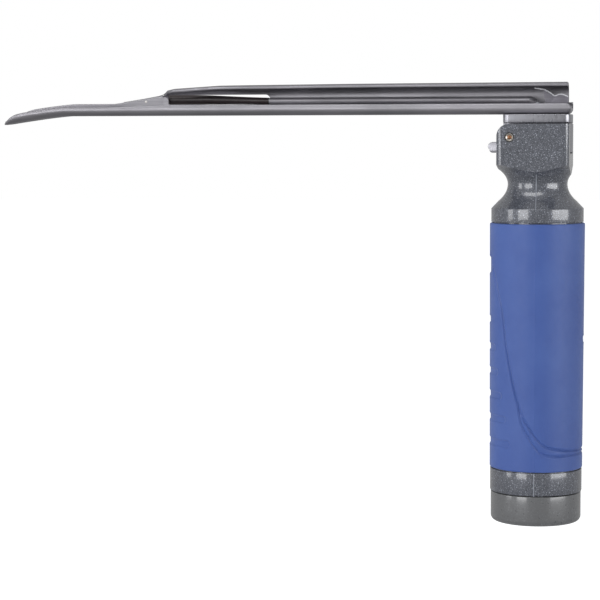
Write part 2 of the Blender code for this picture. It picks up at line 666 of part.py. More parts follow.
def blade_stations():
    """Places along the blade, heel to tip, closer together where its section changes."""
    heel = BLADE_HEEL_X - HEEL_ROUND
    stations = eased(heel, BLADE_HEEL_X, 4)[::-1] + [heel]
    stations += spread(heel, WINDOW_X1, 4)
    stations += [WINDOW_X0 + along for along, height in EDGE_RISE[::-1] if WINDOW_X0 + along < WINDOW_X1]
    round_x = BLADE_TIP_X + TIP_ROUND
    stations += spread(stations[-1], TIP_START_X, 2)
    stations += spread(TIP_START_X, round_x, 6)
    return stations + eased(round_x, BLADE_TIP_X, 8)


def make_blade_channel(mat):
    """The formed sheet: spatula floor, near lip, far web and curled flange, lofted along X."""
    bm = bmesh.new()
    rings = []
    for x in blade_stations():
        path = channel_path(x)
        left, right = [], []
        for i, p in enumerate(path):
            along = (path[min(i + 1, len(path) - 1)] - path[max(i - 1, 0)]).normalized()
            normal = Vector((-along.y, along.x))
            left.append(p + normal * SHEET_T / 2)
            right.append(p - normal * SHEET_T / 2)
        rings.append([bm.verts.new((x, p.x, p.y)) for p in left + right[::-1]])
    total = len(rings[0])
    for a, b in zip(rings, rings[1:]):
        for k in range(total):
            n = (k + 1) % total
            bm.faces.new((a[k], a[n], b[n], b[k]))
    for ring in (rings[0], rings[-1]):
        for k in range(total // 2 - 1):
            bm.faces.new((ring[k], ring[k + 1], ring[total - 2 - k], ring[total - 1 - k]))
    channel = add_mesh("blade_channel", bm, mat)
    cut_window(channel)
    cut_heel(channel)
    return channel


def cut_window(channel):
    """The window in the web: small corners in front, a full round at the back."""
    r = WINDOW_H / 2
    z = SHEET_Z + WINDOW_Z
    corner = WINDOW_CORNER
    outline = arc((WINDOW_X0 + corner, z + r - corner), corner, 90, 180, 3)
    outline += arc((WINDOW_X0 + corner, z - r + corner), corner, 180, 270, 3)
    outline += arc((WINDOW_X1 - r, z), r, -90, 90, 8)
    window = plate_xz("window_form", outline, WEB_Y - SHEET_T - 1.2 * MM, WEB_Y + MM)
    boolean(channel, as_cutter(as_mesh(window)))


def cut_heel(channel):
    """Set the web and flange back from the heel, and make the holes for the light and the rivets."""
    web_end = BLADE_HEEL_X - WEB_SETBACK
    low, high = SHEET_Z + LIP_H + GAP, SHEET_Z + FLANGE_H + MM
    back = box("web_end_form", (web_end, -BLADE_W, low), (web_end + 2 * WEB_SETBACK + MM, BLADE_W, high))
    boolean(channel, as_cutter(back))
    holes = [(0.0, GUIDE_R + 2 * GAP)] + [(x, RIVET_R + RIVET_FIT) for x in RIVET_XS]
    for x, r in holes:
        hole = rod("sheet_hole_form", r, (x, 0, SHEET_Z - MM), (x, 0, SHEET_Z + SHEET_T + 0.5 * MM))
        boolean(channel, as_cutter(hole))


def make_heel_block(mat):
    """The block that drops into the fork, with the open hook for the pin and the plate on top."""
    back = PLATE_REAR - BALL_FIT
    beak = PIN_X - BEAK_REACH
    jaw_top = PIN_Z - NOTCH_R
    into_plate = PLATE_Z + PLATE_T / 5
    outline = [(back, BLOCK_BOTTOM_Z), (back, into_plate), (-PLATE_FRONT, into_plate),
               (-PLATE_FRONT, PIN_Z + NOTCH_R)]
    outline += arc((PIN_X, PIN_Z), NOTCH_R, 90, -90, 10)
    outline += arc((beak + BEAK_ROUND, jaw_top - BEAK_ROUND), BEAK_ROUND, 90, 180, 5)
    outline += [(beak + BEAK_CHAMFER[0] / 3, BLOCK_BOTTOM_Z + BEAK_CHAMFER[1]),
                (beak + BEAK_CHAMFER[0], BLOCK_BOTTOM_Z)]
    half = BLOCK_W / 2
    block = as_mesh(plate_xz("heel_block", outline, -half, half, mat))
    plate = box("plate_form", (-PLATE_FRONT, -PLATE_W / 2, PLATE_Z), (PLATE_REAR, PLATE_W / 2, PLATE_TOP_Z),
                corner=PLATE_CORNER)
    boolean(block, as_cutter(plate), "UNION")
    light = rod("light_hole_form", INLET_R + GAP, (0, 0, BLOCK_BOTTOM_Z - MM), (0, 0, PLATE_TOP_Z + MM))
    boolean(block, as_cutter(light))
    cross = rod("ball_hole_form", BALL_R + BALL_FIT, (BALL_X, -half - MM, PIN_Z), (BALL_X, half + MM, PIN_Z),
                segments=16)
    boolean(block, as_cutter(cross))
    for x in RIVET_XS:
        low = PLATE_TOP_Z - RIVET_DEPTH - 4 * SEAT
        hole = rod("stud_hole_form", RIVET_R + RIVET_FIT, (x, 0, low), (x, 0, PLATE_TOP_Z + MM))
        boolean(block, as_cutter(hole))
    return block


def make_detents(steel):
    """Two balls in the block's cross hole with a spring between them. They click into the ears' dimples."""
    centre = BLOCK_W / 2 + BALL_PROUD - BALL_R
    ball("detent_ball_near", BALL_R, (BALL_X, -centre, PIN_Z), steel)
    ball("detent_ball_far", BALL_R, (BALL_X, centre, PIN_Z), steel)
    end = centre - BALL_R - 4 * SEAT
    coil("detent_spring", (BALL_X, -end, PIN_Z), "Y", (DETENT_SPRING_R, DETENT_SPRING_R), 2 * end, 6,
         DETENT_WIRE_R, steel, per_turn=10)


def make_rivets(steel):
    low = PLATE_TOP_Z - RIVET_DEPTH
    seat = SHEET_Z + SHEET_T + SEAT
    for name, x in zip(("heel_rivet_front", "heel_rivet_rear"), RIVET_XS):
        turned(name, [
            (0.0, seat + RIVET_HEAD_H), (RIVET_HEAD_R * 0.6, seat + RIVET_HEAD_H * 0.7), (RIVET_HEAD_R, seat),
            (RIVET_R, seat), (RIVET_R, low), (0.0, low)], steel, steps=20, place=(x, 0.0, 0.0))


def make_light_guide(glass):
    """Inlet rod in the block over the lamp, and the fibre bundle that bends to run along the web."""
    low, high = BLOCK_BOTTOM_Z + SEAT, PLATE_TOP_Z - SEAT
    turned("light_inlet", [(0.0, high), (INLET_R, high), (INLET_R, low), (0.0, low)], glass, steps=20)
    route = [(x, GUIDE_Y, GUIDE_AXIS_Z) for x in (GUIDE_EXIT_X, WINDOW_X1, -2 * GUIDE_BEND)]
    steps = 8
    for i in range(steps + 1):
        t = i / steps
        a = math.pi / 2 * t
        route.append((-GUIDE_BEND * (1 - math.sin(a)), GUIDE_Y * (1 - smooth_step(t)),
                      GUIDE_AXIS_Z - GUIDE_BEND * (1 - math.cos(a))))
    route.append((0.0, 0.0, SHEET_Z + SEAT))
    return wire("light_guide", route, GUIDE_R, glass)


def make_guide_sleeves(sheath_mat, jacket_mat, lens_mat):
    """The steel sheath and the tapered jacket round the fibre bundle, and the lens at its end."""
    axis = (0.0, GUIDE_Y, GUIDE_AXIS_Z)
    inner = GUIDE_R + GUIDE_FIT
    start = WINDOW_X1 + SEAT * 4
    turned("light_guide_sheath", [
        (inner, -SHEATH_END), (SHEATH_R, -SHEATH_END), (SHEATH_R, start), (inner, start)],
        sheath_mat, steps=24, place=axis, along_x=True)
    widest = GUIDE_EXIT_X + 0.18 * (WINDOW_X1 - GUIDE_EXIT_X)
    front = GUIDE_EXIT_X + LENS_R
    turned("light_guide_jacket", [
        (inner, WINDOW_X1), (SHEATH_R, WINDOW_X1), (JACKET_R, widest), (JACKET_END_R, front),
        (inner, front)], jacket_mat, steps=20, place=axis, along_x=True)
    back = GUIDE_EXIT_X - LENS_GAP
    rod("exit_lens", LENS_R, (back - LENS_T, GUIDE_Y, GUIDE_AXIS_Z), (back, GUIDE_Y, GUIDE_AXIS_Z), lens_mat)


def make_heel_bracket(mat):
    """A stepped tang that stiffens the heel, standing on the sheet inside the channel."""
    base = SHEET_Z + SHEET_T + SEAT
    outline = [(BRACKET_X[1], base), (BRACKET_X[0], base)]
    outline += [(x, SHEET_Z + height) for x, height in BRACKET_TOP]
    far = GUIDE_Y - SHEATH_R - BRACKET_FROM_SHEATH
    return as_mesh(plate_xz("heel_bracket", outline, far - BRACKET_T, far, mat))


# ---------------------------------------------------------------- assembly
BLADE_PIECES = (
    "blade_channel", "heel_block", "heel_bracket", "detent_ball_near", "detent_ball_far", "detent_spring",
    "heel_rivet_front", "heel_rivet_rear", "light_inlet", "light_guide", "light_guide_sheath",
    "light_guide_jacket", "exit_lens")


def make_blade_axis():
    """An empty on the hook pin's axis, which the blade turns about and slides off."""
    axis = bpy.data.objects.new("blade_axis", None)
    axis.location = (PIN_X, 0.0, PIN_Z)
    parts.objects.link(axis)
    parent_to(axis, [bpy.data.objects[name] for name in BLADE_PIECES])


def build():
    global parts, cutters
    clear_scene()
    parts = collection("laryngoscope")
    cutters = collection("cutters")
    dark = material("graphite_plastic", (0.115, 0.12, 0.145), 0.3)
    blue = material("blue_elastomer", (0.075, 0.125, 0.35), 0.5)
    grey = material("base_cap_metal", (0.17, 0.175, 0.2), 0.35, 0.6)
    steel = material("stainless_steel", (0.6, 0.6, 0.61), 0.25, 1.0)
    satin = material("satin_steel", (0.52, 0.52, 0.55), 0.4, 1.0)
    brass = material("brass", (0.78, 0.6, 0.32), 0.3, 1.0)
    wrap = material("cell_wrap", (0.05, 0.05, 0.06), 0.5)
    board = material("board_green", (0.03, 0.2, 0.07), 0.5)
    fibre = material("fibre_glass", (0.75, 0.78, 0.8), 0.1)
    jacket = material("guide_jacket", (0.035, 0.025, 0.025), 0.45)
    rubber = material("seal_rubber", (0.02, 0.02, 0.02), 0.8)

    make_base_cap(grey)
    make_cap_contacts(brass, steel, rubber)
    make_handle_body(dark)
    make_grip_sleeve(blue)
    make_cell("battery_lower", CELL_LOWER_Z, wrap, steel)
    make_cell("battery_upper", CELL_UPPER_Z, wrap, steel)
    make_return_strip(brass)
    make_lamp_cartridge(brass, steel, board, fibre)
    make_hook_pin(brass)
    make_blade_channel(satin)
    make_heel_block(satin)
    make_heel_bracket(steel)
    make_detents(steel)
    make_rivets(steel)
    make_light_guide(fibre)
    make_guide_sleeves(satin, jacket, fibre)
    make_blade_axis()


build()
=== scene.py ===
"""Looks of the laryngoscope: fine outer pieces, procedural materials, studio and camera.

Metres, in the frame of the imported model: origin under the base cap, +Z up the handle, the blade points to -X
and its channel opens to -Y.
"""
import math

import bmesh
import bpy
import numpy as np
from mathutils import Matrix, Vector


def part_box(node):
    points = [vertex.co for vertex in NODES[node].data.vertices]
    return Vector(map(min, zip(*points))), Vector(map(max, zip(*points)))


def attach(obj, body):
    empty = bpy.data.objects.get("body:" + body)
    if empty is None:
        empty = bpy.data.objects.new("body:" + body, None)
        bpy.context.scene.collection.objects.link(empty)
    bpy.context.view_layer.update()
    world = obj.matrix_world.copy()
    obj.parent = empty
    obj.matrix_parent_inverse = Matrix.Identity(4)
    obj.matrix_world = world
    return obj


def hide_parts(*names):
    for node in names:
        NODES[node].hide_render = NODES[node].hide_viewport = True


MM = 0.001
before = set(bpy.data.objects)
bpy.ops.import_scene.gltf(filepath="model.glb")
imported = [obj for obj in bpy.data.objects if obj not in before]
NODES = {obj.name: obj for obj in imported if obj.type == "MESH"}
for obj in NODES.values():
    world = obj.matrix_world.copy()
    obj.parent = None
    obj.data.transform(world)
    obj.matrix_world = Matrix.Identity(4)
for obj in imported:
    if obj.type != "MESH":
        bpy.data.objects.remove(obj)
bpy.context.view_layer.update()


# ---------------------------------------------------------------- boxes and sizes read from the frame
def low(node):
    return Vector(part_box(node)[0])


def high(node):
    return Vector(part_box(node)[1])


SLEEVE_LOW, SLEEVE_HIGH = low("grip_sleeve"), high("grip_sleeve")
SLEEVE_TOP_R = (SLEEVE_HIGH.x - SLEEVE_LOW.x) / 2
SLEEVE_TAPER = 0.3 * MM
SLEEVE_WALL = 0.6 * MM
BODY_LOW, BODY_HIGH = low("handle_body"), high("handle_body")
CAP_LOW, CAP_HIGH = low("base_cap"), high("base_cap")
SHEET_LOW, SHEET_HIGH = low("blade_channel"), high("blade_channel")
PIN_CENTRE = (low("hook_pin") + high("hook_pin")) / 2


# ---------------------------------------------------------------- mesh helpers
def new_object(name, verts, faces, smooth_angle=35):
    mesh = bpy.data.meshes.new(name)
    mesh.from_pydata([tuple(v) for v in verts], [], faces)
    mesh.update()
    bm = bmesh.new()
    bm.from_mesh(mesh)
    bmesh.ops.recalc_face_normals(bm, faces=bm.faces[:])
    bm.to_mesh(mesh)
    bm.free()
    mesh.shade_smooth()
    mesh.set_sharp_from_angle(angle=math.radians(smooth_angle))
    obj = bpy.data.objects.new(name, mesh)
    bpy.context.scene.collection.objects.link(obj)
    return obj


def from_bmesh(name, bm, smooth_angle=35):
    bmesh.ops.recalc_face_normals(bm, faces=bm.faces[:])
    mesh = bpy.data.meshes.new(name)
    bm.to_mesh(mesh)
    bm.free()
    mesh.shade_smooth()
    mesh.set_sharp_from_angle(angle=math.radians(smooth_angle))
    obj = bpy.data.objects.new(name, mesh)
    bpy.context.scene.collection.objects.link(obj)
    return obj


def apply_modifiers(obj):
    """Keep what the modifiers make as the object's own mesh."""
    graph = bpy.context.evaluated_depsgraph_get()
    mesh = bpy.data.meshes.new_from_object(obj.evaluated_get(graph))
    old = obj.data
    obj.modifiers.clear()
    obj.data = mesh
    bpy.data.meshes.remove(old)
    mesh.shade_smooth()
    mesh.set_sharp_from_angle(angle=math.radians(35))


def cut(obj, tool, operation="DIFFERENCE"):
    """One exact Boolean, applied at once, and the tool removed."""
    mod = obj.modifiers.new("cut", "BOOLEAN")
    mod.operation = operation
    mod.solver = "EXACT"
    mod.object = tool
    apply_modifiers(obj)
    bpy.data.objects.remove(tool, do_unlink=True)


def soften(obj, width, segments=3, angle=38):
    """Small rounded edges on every sharp edge."""
    mod = obj.modifiers.new("soft_edges", "BEVEL")
    mod.width = width
    mod.segments = segments
    mod.limit_method = "ANGLE"
    mod.angle_limit = math.radians(angle)
    mod.use_clamp_overlap = True
    mod.harden_normals = False


def turned(name, profile, steps=144, centre=(0.0, 0.0)):
    """A closed (radius, height) profile turned about a vertical axis: from axis to axis, or a ring."""
    bm = bmesh.new()
    on_axis = profile[0][0] < 1e-7
    rings = []
    for r, z in profile:
        if r < 1e-7:
            rings.append([bm.verts.new((centre[0], centre[1], z))])
            continue
        ring = []
        for k in range(steps):
            a = 2 * math.pi * k / steps
            ring.append(bm.verts.new((centre[0] + r * math.cos(a), centre[1] + r * math.sin(a), z)))
        rings.append(ring)
    pairs = list(zip(rings, rings[1:]))
    if not on_axis:
        pairs.append((rings[-1], rings[0]))
    for a, b in pairs:
        for k in range(steps):
            n = (k + 1) % steps
            corners = [a[k % len(a)], a[n % len(a)], b[n % len(b)], b[k % len(b)]]
            unique = list(dict.fromkeys(corners))
            if len(unique) > 2:
                bm.faces.new(unique)
    return from_bmesh(name, bm)


def block(name, lo, hi):
    bm = bmesh.new()
    lo, hi = Vector(lo), Vector(hi)
    size = Matrix.Diagonal((*(hi - lo), 1.0))
    bmesh.ops.create_cube(bm, size=1.0, matrix=Matrix.Translation((lo + hi) / 2) @ size)
    return from_bmesh(name, bm)


def plate_xz(name, outline, y0, y1):
    bm = bmesh.new()
    face = bm.faces.new([bm.verts.new((x, y0, z)) for x, z in outline])
    grown = bmesh.ops.extrude_face_region(bm, geom=[face])
    moved = [item for item in grown["geom"] if isinstance(item, bmesh.types.BMVert)]
    bmesh.ops.translate(bm, verts=moved, vec=(0.0, y1 - y0, 0.0))
    return from_bmesh(name, bm)


def rod(name, radius, start, end, segments=64):
    a, b = Vector(start), Vector(end)
    bm = bmesh.new()
    turn = (b - a).to_track_quat("Z", "Y").to_matrix().to_4x4()
    bmesh.ops.create_cone(bm, cap_ends=True, segments=segments, radius1=radius, radius2=radius,
                          depth=(b - a).length, matrix=Matrix.Translation((a + b) / 2) @ turn)
    return from_bmesh(name, bm)


def arc(centre, radius, start, end, count):
    out = []
    for i in range(count + 1):
        a = math.radians(start + (end - start) * i / count)
        out.append((centre[0] + radius * math.cos(a), centre[1] + radius * math.sin(a)))
    return out


def smooth_line(points, per_span):
    """Catmull-Rom curve through points of any dimension, as a numpy array."""
    p = np.array(points, float)
    p = np.vstack([2 * p[0] - p[1], p, 2 * p[-1] - p[-2]])
    out = []
    for i in range(1, len(p) - 2):
        for k in range(per_span):
            t = k / per_span
            a, b, c, d = p[i - 1], p[i], p[i + 1], p[i + 2]
            out.append(0.5 * (2 * b + (c - a) * t + (2 * a - 5 * b + 4 * c - d) * t ** 2
                              + (3 * b - a - 3 * c + d) * t ** 3))
    out.append(p[-2])
    return np.array(out)


def smooth_step(t):
    t = max(0.0, min(1.0, t))
    return t * t * (3 - 2 * t)


def swept(name, points, radius, sides=16):
    """A round bar along a list of points, of one radius or of one for each point."""
    pts = [Vector(p) for p in points]
    verts, faces = [], []
    side = None
    last = len(pts) - 1
    radii = radius if isinstance(radius, list) else [radius] * len(pts)
    for i, p in enumerate(pts):
        r = radii[i]
        ahead = (pts[min(i + 1, last)] - pts[max(i - 1, 0)]).normalized()
        if side is None:
            side = ahead.orthogonal().normalized()
        side = (side - ahead * side.dot(ahead)).normalized()
        up = ahead.cross(side)
        for k in range(sides):
            a = 2 * math.pi * k / sides
            verts.append(p + side * (r * math.cos(a)) + up * (r * math.sin(a)))
    for i in range(last):
        for k in range(sides):
            n = (k + 1) % sides
            a, b = i * sides, (i + 1) * sides
            faces.append((a + k, a + n, b + n, b + k))
    faces.append(tuple(range(sides)))
    faces.append(tuple(last * sides + k for k in range(sides)))
    return new_object(name, verts, faces)


# ---------------------------------------------------------------- materials
def srgb(r, g, b):
    def lin(c):
        c /= 255
        return c / 12.92 if c <= 0.04045 else ((c + 0.055) / 1.055) ** 2.4
    return (lin(r), lin(g), lin(b), 1.0)


class Mat:
    """A node material with a Principled shader, object-space coordinates and short calls for its layers."""

    def __init__(self, name, colour, roughness, metallic=0.0):
        self.mat = bpy.data.materials.new(name)
        self.mat.use_nodes = True
        self.tree = self.mat.node_tree
        self.shader = self.tree.nodes["Principled BSDF"]
        self.put("Base Color", colour)
        self.put("Roughness", roughness)
        self.put("Metallic", metallic)
        self.where = self.tree.nodes.new("ShaderNodeTexCoord").outputs["Object"]
        self.normal = None

    def put(self, socket, value):
        self.shader.inputs[socket].default_value = value

    def add(self, kind, **values):
        node = self.tree.nodes.new(kind)
        for key, value in values.items():
            setattr(node, key, value)
        return node

    def link(self, a, b):
        self.tree.links.new(a, b)

    def stretched(self, scale):
        node = self.add("ShaderNodeMapping")
        node.inputs["Scale"].default_value = scale
        self.link(self.where, node.inputs["Vector"])
        return node.outputs["Vector"]

    def noise(self, scale, detail=3.0, rough=0.55, stretch=(1, 1, 1)):
        node = self.add("ShaderNodeTexNoise")
        node.inputs["Scale"].default_value = scale
        node.inputs["Detail"].default_value = detail
        node.inputs["Roughness"].default_value = rough
        self.link(self.stretched(stretch), node.inputs["Vector"])
        return node.outputs["Fac"]

    def flecks(self, scale):
        node = self.add("ShaderNodeTexVoronoi")
        node.inputs["Scale"].default_value = scale
        self.link(self.where, node.inputs["Vector"])
        return node.outputs["Color"]

    def ramp(self, source, stops):
        node = self.add("ShaderNodeValToRGB")
        node.color_ramp.elements[0].position, node.color_ramp.elements[0].color = stops[0]
        node.color_ramp.elements[1].position, node.color_ramp.elements[1].color = stops[-1]
        for place, colour in stops[1:-1]:
            node.color_ramp.elements.new(place).color = colour
        self.link(source, node.inputs["Fac"])
        return node.outputs["Color"]

    def span(self, source, lo, hi, from_lo=0.3, from_hi=0.7):
        node = self.add("ShaderNodeMapRange")
        node.inputs["From Min"].default_value = from_lo
        node.inputs["From Max"].default_value = from_hi
        node.inputs["To Min"].default_value = lo
        node.inputs["To Max"].default_value = hi
        self.link(source, node.inputs["Value"])
        return node.outputs["Result"]

    def bump(self, height, distance, strength=1.0):
        node = self.add("ShaderNodeBump")
        node.inputs["Distance"].default_value = distance
        node.inputs["Strength"].default_value = strength
        self.link(height, node.inputs["Height"])
        if self.normal:
            self.link(self.normal, node.inputs["Normal"])
        self.normal = node.outputs["Normal"]
        self.link(self.normal, self.shader.inputs["Normal"])


def grey(v):
    return (v, v, v, 1.0)


def graphite(name, dark, light, fleck_size, coat):
    """Moulded plastic full of metallic flake: dark ground, pale flecks, and a clear glossy skin."""
    m = Mat(name, srgb(*dark), 0.32)
    mid = tuple(int(a + (b - a) * 0.22) for a, b in zip(dark, light))
    coarse = m.noise(1 / fleck_size, 1.5, 0.6)
    colour = m.ramp(coarse, [(0.3, srgb(*dark)), (0.5, srgb(*mid)), (0.6, srgb(*mid)), (0.72, srgb(*light))])
    m.link(colour, m.shader.inputs["Base Color"])
    m.link(m.span(m.noise(900, 3.0), 0.26, 0.4), m.shader.inputs["Roughness"])
    m.put("Metallic", 0.25)
    m.put("Specular IOR Level", 0.6)
    m.put("Coat Weight", coat)
    m.put("Coat IOR", 1.75)
    m.put("Coat Roughness", 0.1)
    m.bump(m.noise(1300, 2.0), 0.00003, 0.3)
    return m.mat


def elastomer():
    """Soft-touch blue grip: matt, with the finest pebble and slight tone changes."""
    m = Mat("blue_elastomer_skin", srgb(56, 82, 150), 0.55)
    colour = m.ramp(m.noise(60, 4.0), [(0.3, srgb(48, 76, 144)), (0.7, srgb(58, 86, 152))])
    m.link(colour, m.shader.inputs["Base Color"])
    m.link(m.span(m.noise(500, 3.0), 0.44, 0.58), m.shader.inputs["Roughness"])
    m.put("Specular IOR Level", 0.42)
    m.put("Sheen Weight", 0.12)
    m.put("Sheen Roughness", 0.5)
    m.bump(m.noise(4200, 2.0), 0.00003, 0.35)
    return m.mat


def steel(name, tone, roughness, brush=0.000004, along=(0.02, 1.0, 1.0), aniso=0.3):
    """Formed stainless steel with fine polishing lines along X."""
    m = Mat(name, srgb(*tone), roughness, 1.0)
    lines = m.noise(1800, 3.0, 0.5, along)
    cloud = m.noise(45, 3.0)
    darker = srgb(*[int(c * 0.94) for c in tone])
    paler = srgb(*[min(255, int(c * 1.04)) for c in tone])
    colour = m.ramp(cloud, [(0.3, darker), (0.7, paler)])
    m.link(colour, m.shader.inputs["Base Color"])
    m.link(m.span(lines, roughness * 0.8, roughness * 1.25), m.shader.inputs["Roughness"])
    m.put("Anisotropic", aniso)
    m.bump(lines, brush, 0.3)
    return m.mat


def bright_metal(name, tone, roughness):
    m = Mat(name, srgb(*tone), roughness, 1.0)
    m.link(m.span(m.noise(800, 3.0), roughness * 0.8, roughness * 1.3), m.shader.inputs["Roughness"])
    m.bump(m.noise(1800, 2.0), 0.000008, 0.4)
    return m.mat


def plain_plastic(name, tone, roughness, grain=900):
    m = Mat(name, srgb(*tone), roughness)
    darker = [int(c * 0.85) for c in tone]
    colour = m.ramp(m.noise(grain / 3, 3.0), [(0.3, srgb(*darker)), (0.7, srgb(*tone))])
    m.link(colour, m.shader.inputs["Base Color"])
    m.link(m.span(m.noise(grain, 3.0), roughness * 0.85, roughness * 1.15), m.shader.inputs["Roughness"])
    m.bump(m.noise(grain * 2, 2.0), 0.00002, 0.3)
    return m.mat


def fibre_end(name, tone, glow=0.0):
    """Polished glass fibre, with the fine cells of the bundle's ends; glow is emission, used on the exit lens as a
    painted glint.
    """
    m = Mat(name, srgb(*tone), 0.12)
    cell = m.ramp(m.flecks(9000), [(0.0, srgb(*[int(c * 0.8) for c in tone])), (1.0, srgb(*tone))])
    m.link(cell, m.shader.inputs["Base Color"])
    m.put("Coat Weight", 0.8)
    m.put("Coat Roughness", 0.05)
    m.put("Emission Color", srgb(255, 250, 240))
    m.put("Emission Strength", glow)
    return m.mat


MAT = {
    "graphite": graphite("graphite_fleck", (52, 55, 63), (172, 176, 188), 0.34 * MM, 0.9),
    "cap": graphite("base_cap_finish", (88, 89, 91), (112, 113, 116), 0.5 * MM, 0.8),
    # painted highlight: the parting line is the handle's graphite in a paler tone, for the light caught along its
    # ridge
    "seam": graphite("parting_line_painted_highlight", (128, 132, 142), (164, 168, 176), 0.4 * MM, 0.5),
    "pin_rim": bright_metal("pin_nickel", (220, 214, 205), 0.14),
    "pin_heart": bright_metal("pin_copper", (150, 108, 80), 0.35),
    "blue": elastomer(),
    "blade": steel("blade_steel", (168, 166, 172), 0.5),
    # painted shade: the blade's steel in a darker tone for the bracket, standing in for the shade inside the heel
    "bracket": steel("bracket_steel_painted_shade", (138, 136, 144), 0.5),
    # painted shade: a dark steel tone for the line along the flange's curled top, where there is only shade
    "edge": steel("flange_painted_shade_steel", (58, 58, 62), 0.55),
    # painted highlight: near-white plastic for the bright line along the bracket's stepped edge
    "bead": plain_plastic("bracket_edge_painted_highlight", (236, 236, 240), 0.25),
    "block": steel("heel_block_steel", (165, 165, 172), 0.3, along=(1.0, 1.0, 0.2)),
    "bright": bright_metal("polished_steel", (205, 205, 208), 0.16),
    "brass": bright_metal("plated_brass", (214, 186, 140), 0.18),
    "jacket": plain_plastic("guide_jacket_epoxy", (50, 38, 40), 0.4),
    "wrap": plain_plastic("cell_wrap_film", (44, 46, 50), 0.35),
    "board": plain_plastic("solder_mask", (24, 92, 48), 0.35),
    "rubber": plain_plastic("seal_rubber_black", (24, 24, 25), 0.75),
    "fibre": fibre_end("fibre_glass_core", (215, 222, 226)),
    # painted glint: the exit lens is whiter than the fibre and glows faintly, though no lamp lights it
    "lens": fibre_end("exit_lens_painted_glint", (236, 232, 228), 0.25),
    "lamp": fibre_end("lamp_dome", (235, 232, 215)),
}


def dress(obj, key):
    obj.data.materials.clear()
    obj.data.materials.append(MAT[key])


# ---------------------------------------------------------------- grip sleeve
def make_grip_sleeve():
    """The soft sleeve, with its sweeping groove, finger recesses and thumb notch pressed into the surface."""
    columns, rows = 560, 460
    ease = 0.45 * MM
    theta = np.linspace(-math.pi, math.pi, columns, endpoint=False)
    z = np.linspace(SLEEVE_LOW.z, SLEEVE_HIGH.z, rows)
    grid_t, grid_z = np.meshgrid(theta, z)
    middle_r = SLEEVE_TOP_R - SLEEVE_TAPER / 2
    # the two sides of the sleeve mirror each other: 0 is the rear and pi the front
    from_side = np.abs(grid_t)
    u = from_side * middle_r
    base_z = SLEEVE_LOW.z
    radius = SLEEVE_TOP_R - SLEEVE_TAPER * (1 - (grid_z - base_z) / (SLEEVE_HIGH.z - base_z))

    def nearest(line):
        """How far each grid point is from a line of (degrees from the rear, mm over the foot)."""
        pts = smooth_line(line, 14)
        px = np.radians(pts[:, 0]) * middle_r
        pz = base_z + pts[:, 1] * MM
        best = np.full(u.shape, 1.0)
        for (ax, az), (bx, bz) in zip(zip(px, pz), zip(px[1:], pz[1:])):
            dx, dz = bx - ax, bz - az
            t = np.clip(((u - ax) * dx + (grid_z - az) * dz) / (dx * dx + dz * dz + 1e-18), 0, 1)
            best = np.minimum(best, np.hypot(u - ax - t * dx, grid_z - az - t * dz))
        return best

    sweep = [(166, 72), (158, 69), (150, 65.1), (141.6, 59.3), (132.5, 51.5), (126.8, 41.6), (120, 33.7),
             (115.4, 28.4), (110, 23.5), (105.5, 19.8)]
    inner = sweep[-2:] + [(101.5, 17.7), (96.4, 15.6), (88.9, 12.6), (84, 10.9), (74.3, 8.6), (59.4, 7.5),
                          (43, 6.9), (16.8, 6.5), (-2, 6.5)]
    outer = [(107.5, 20.5), (104.1, 16.5), (98.5, 13.5), (93.8, 11.2), (86.5, 8.3), (79.2, 6.4), (64.5, 5.3),
             (50, 5.2), (36.7, 5.3), (21.6, 5.3), (-2, 5.3)]
    d_line = np.minimum(nearest(sweep), nearest(inner))
    d_outer = nearest(outer)
    groove, width = 0.52 * MM, 0.36 * MM
    radius = radius - groove * np.exp(-(d_line / width) ** 2)
    radius = radius - groove * 0.85 * np.exp(-(d_outer / width) ** 2)

    def recess(reach_deg, centre_mm, half_mm, depth, centre_deg=180.0, edge=0.85 * MM):
        """An oval recess across the front or the rear."""
        half = half_mm * MM
        reach = math.radians(reach_deg) * middle_r - half
        along = np.abs(u - math.radians(centre_deg) * middle_r)
        past = np.maximum(along - reach, 0.0)
        inside = half - np.hypot(past, grid_z - base_z - centre_mm * MM)
        t = np.clip(inside / edge + 0.5, 0, 1)
        rim = 0.12 * MM * np.exp(-(inside / (0.35 * MM)) ** 2)
        return depth * t * t * (3 - 2 * t) - rim

    for reach_deg, centre_mm in ((24, 49.5), (34, 40.4), (40, 32.4), (47, 24.6), (54, 16.9), (61, 8.9)):
        radius = radius - recess(reach_deg, centre_mm, 1.25, 0.3 * MM)
    radius = radius - recess(26, 67.6, 2.8, 0.4 * MM)
    radius = radius - recess(13, 43.0, 1.2, 0.2 * MM, centre_deg=0.0)
    seam = np.abs(from_side - math.radians(88.0)) * middle_r
    radius = radius + 0.05 * MM * np.exp(-(seam / (0.16 * MM)) ** 2)
    rounding = np.minimum(grid_z - base_z, SLEEVE_HIGH.z - grid_z)
    lift = np.clip(1 - rounding / ease, 0, 1)
    radius = radius - ease * (1 - np.sqrt(1 - lift ** 2 * 0.98))
    radius = np.minimum(radius, SLEEVE_TOP_R)

    x, y = radius * np.cos(grid_t), radius * np.sin(grid_t)
    verts = list(zip(x.ravel(), y.ravel(), grid_z.ravel()))
    inner_r = SLEEVE_TOP_R - SLEEVE_TAPER - SLEEVE_WALL + 0.02 * MM
    for level in (SLEEVE_LOW.z, SLEEVE_HIGH.z):
        verts += [(inner_r * math.cos(a), inner_r * math.sin(a), level) for a in theta]
    faces = []
    for i in range(rows - 1):
        for k in range(columns):
            n = (k + 1) % columns
            faces.append((i * columns + k, i * columns + n, (i + 1) * columns + n, (i + 1) * columns + k))
    top, under, over = (rows - 1) * columns, rows * columns, (rows + 1) * columns
    for k in range(columns):
        n = (k + 1) % columns
        faces.append((top + k, top + n, over + n, over + k))
        faces.append((over + k, over + n, under + n, under + k))
        faces.append((under + k, under + n, n, k))
    sleeve = new_object("grip_sleeve_soft", verts, faces, 50)
    dress(sleeve, "blue")
    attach(sleeve, "handle")
    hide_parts("grip_sleeve")


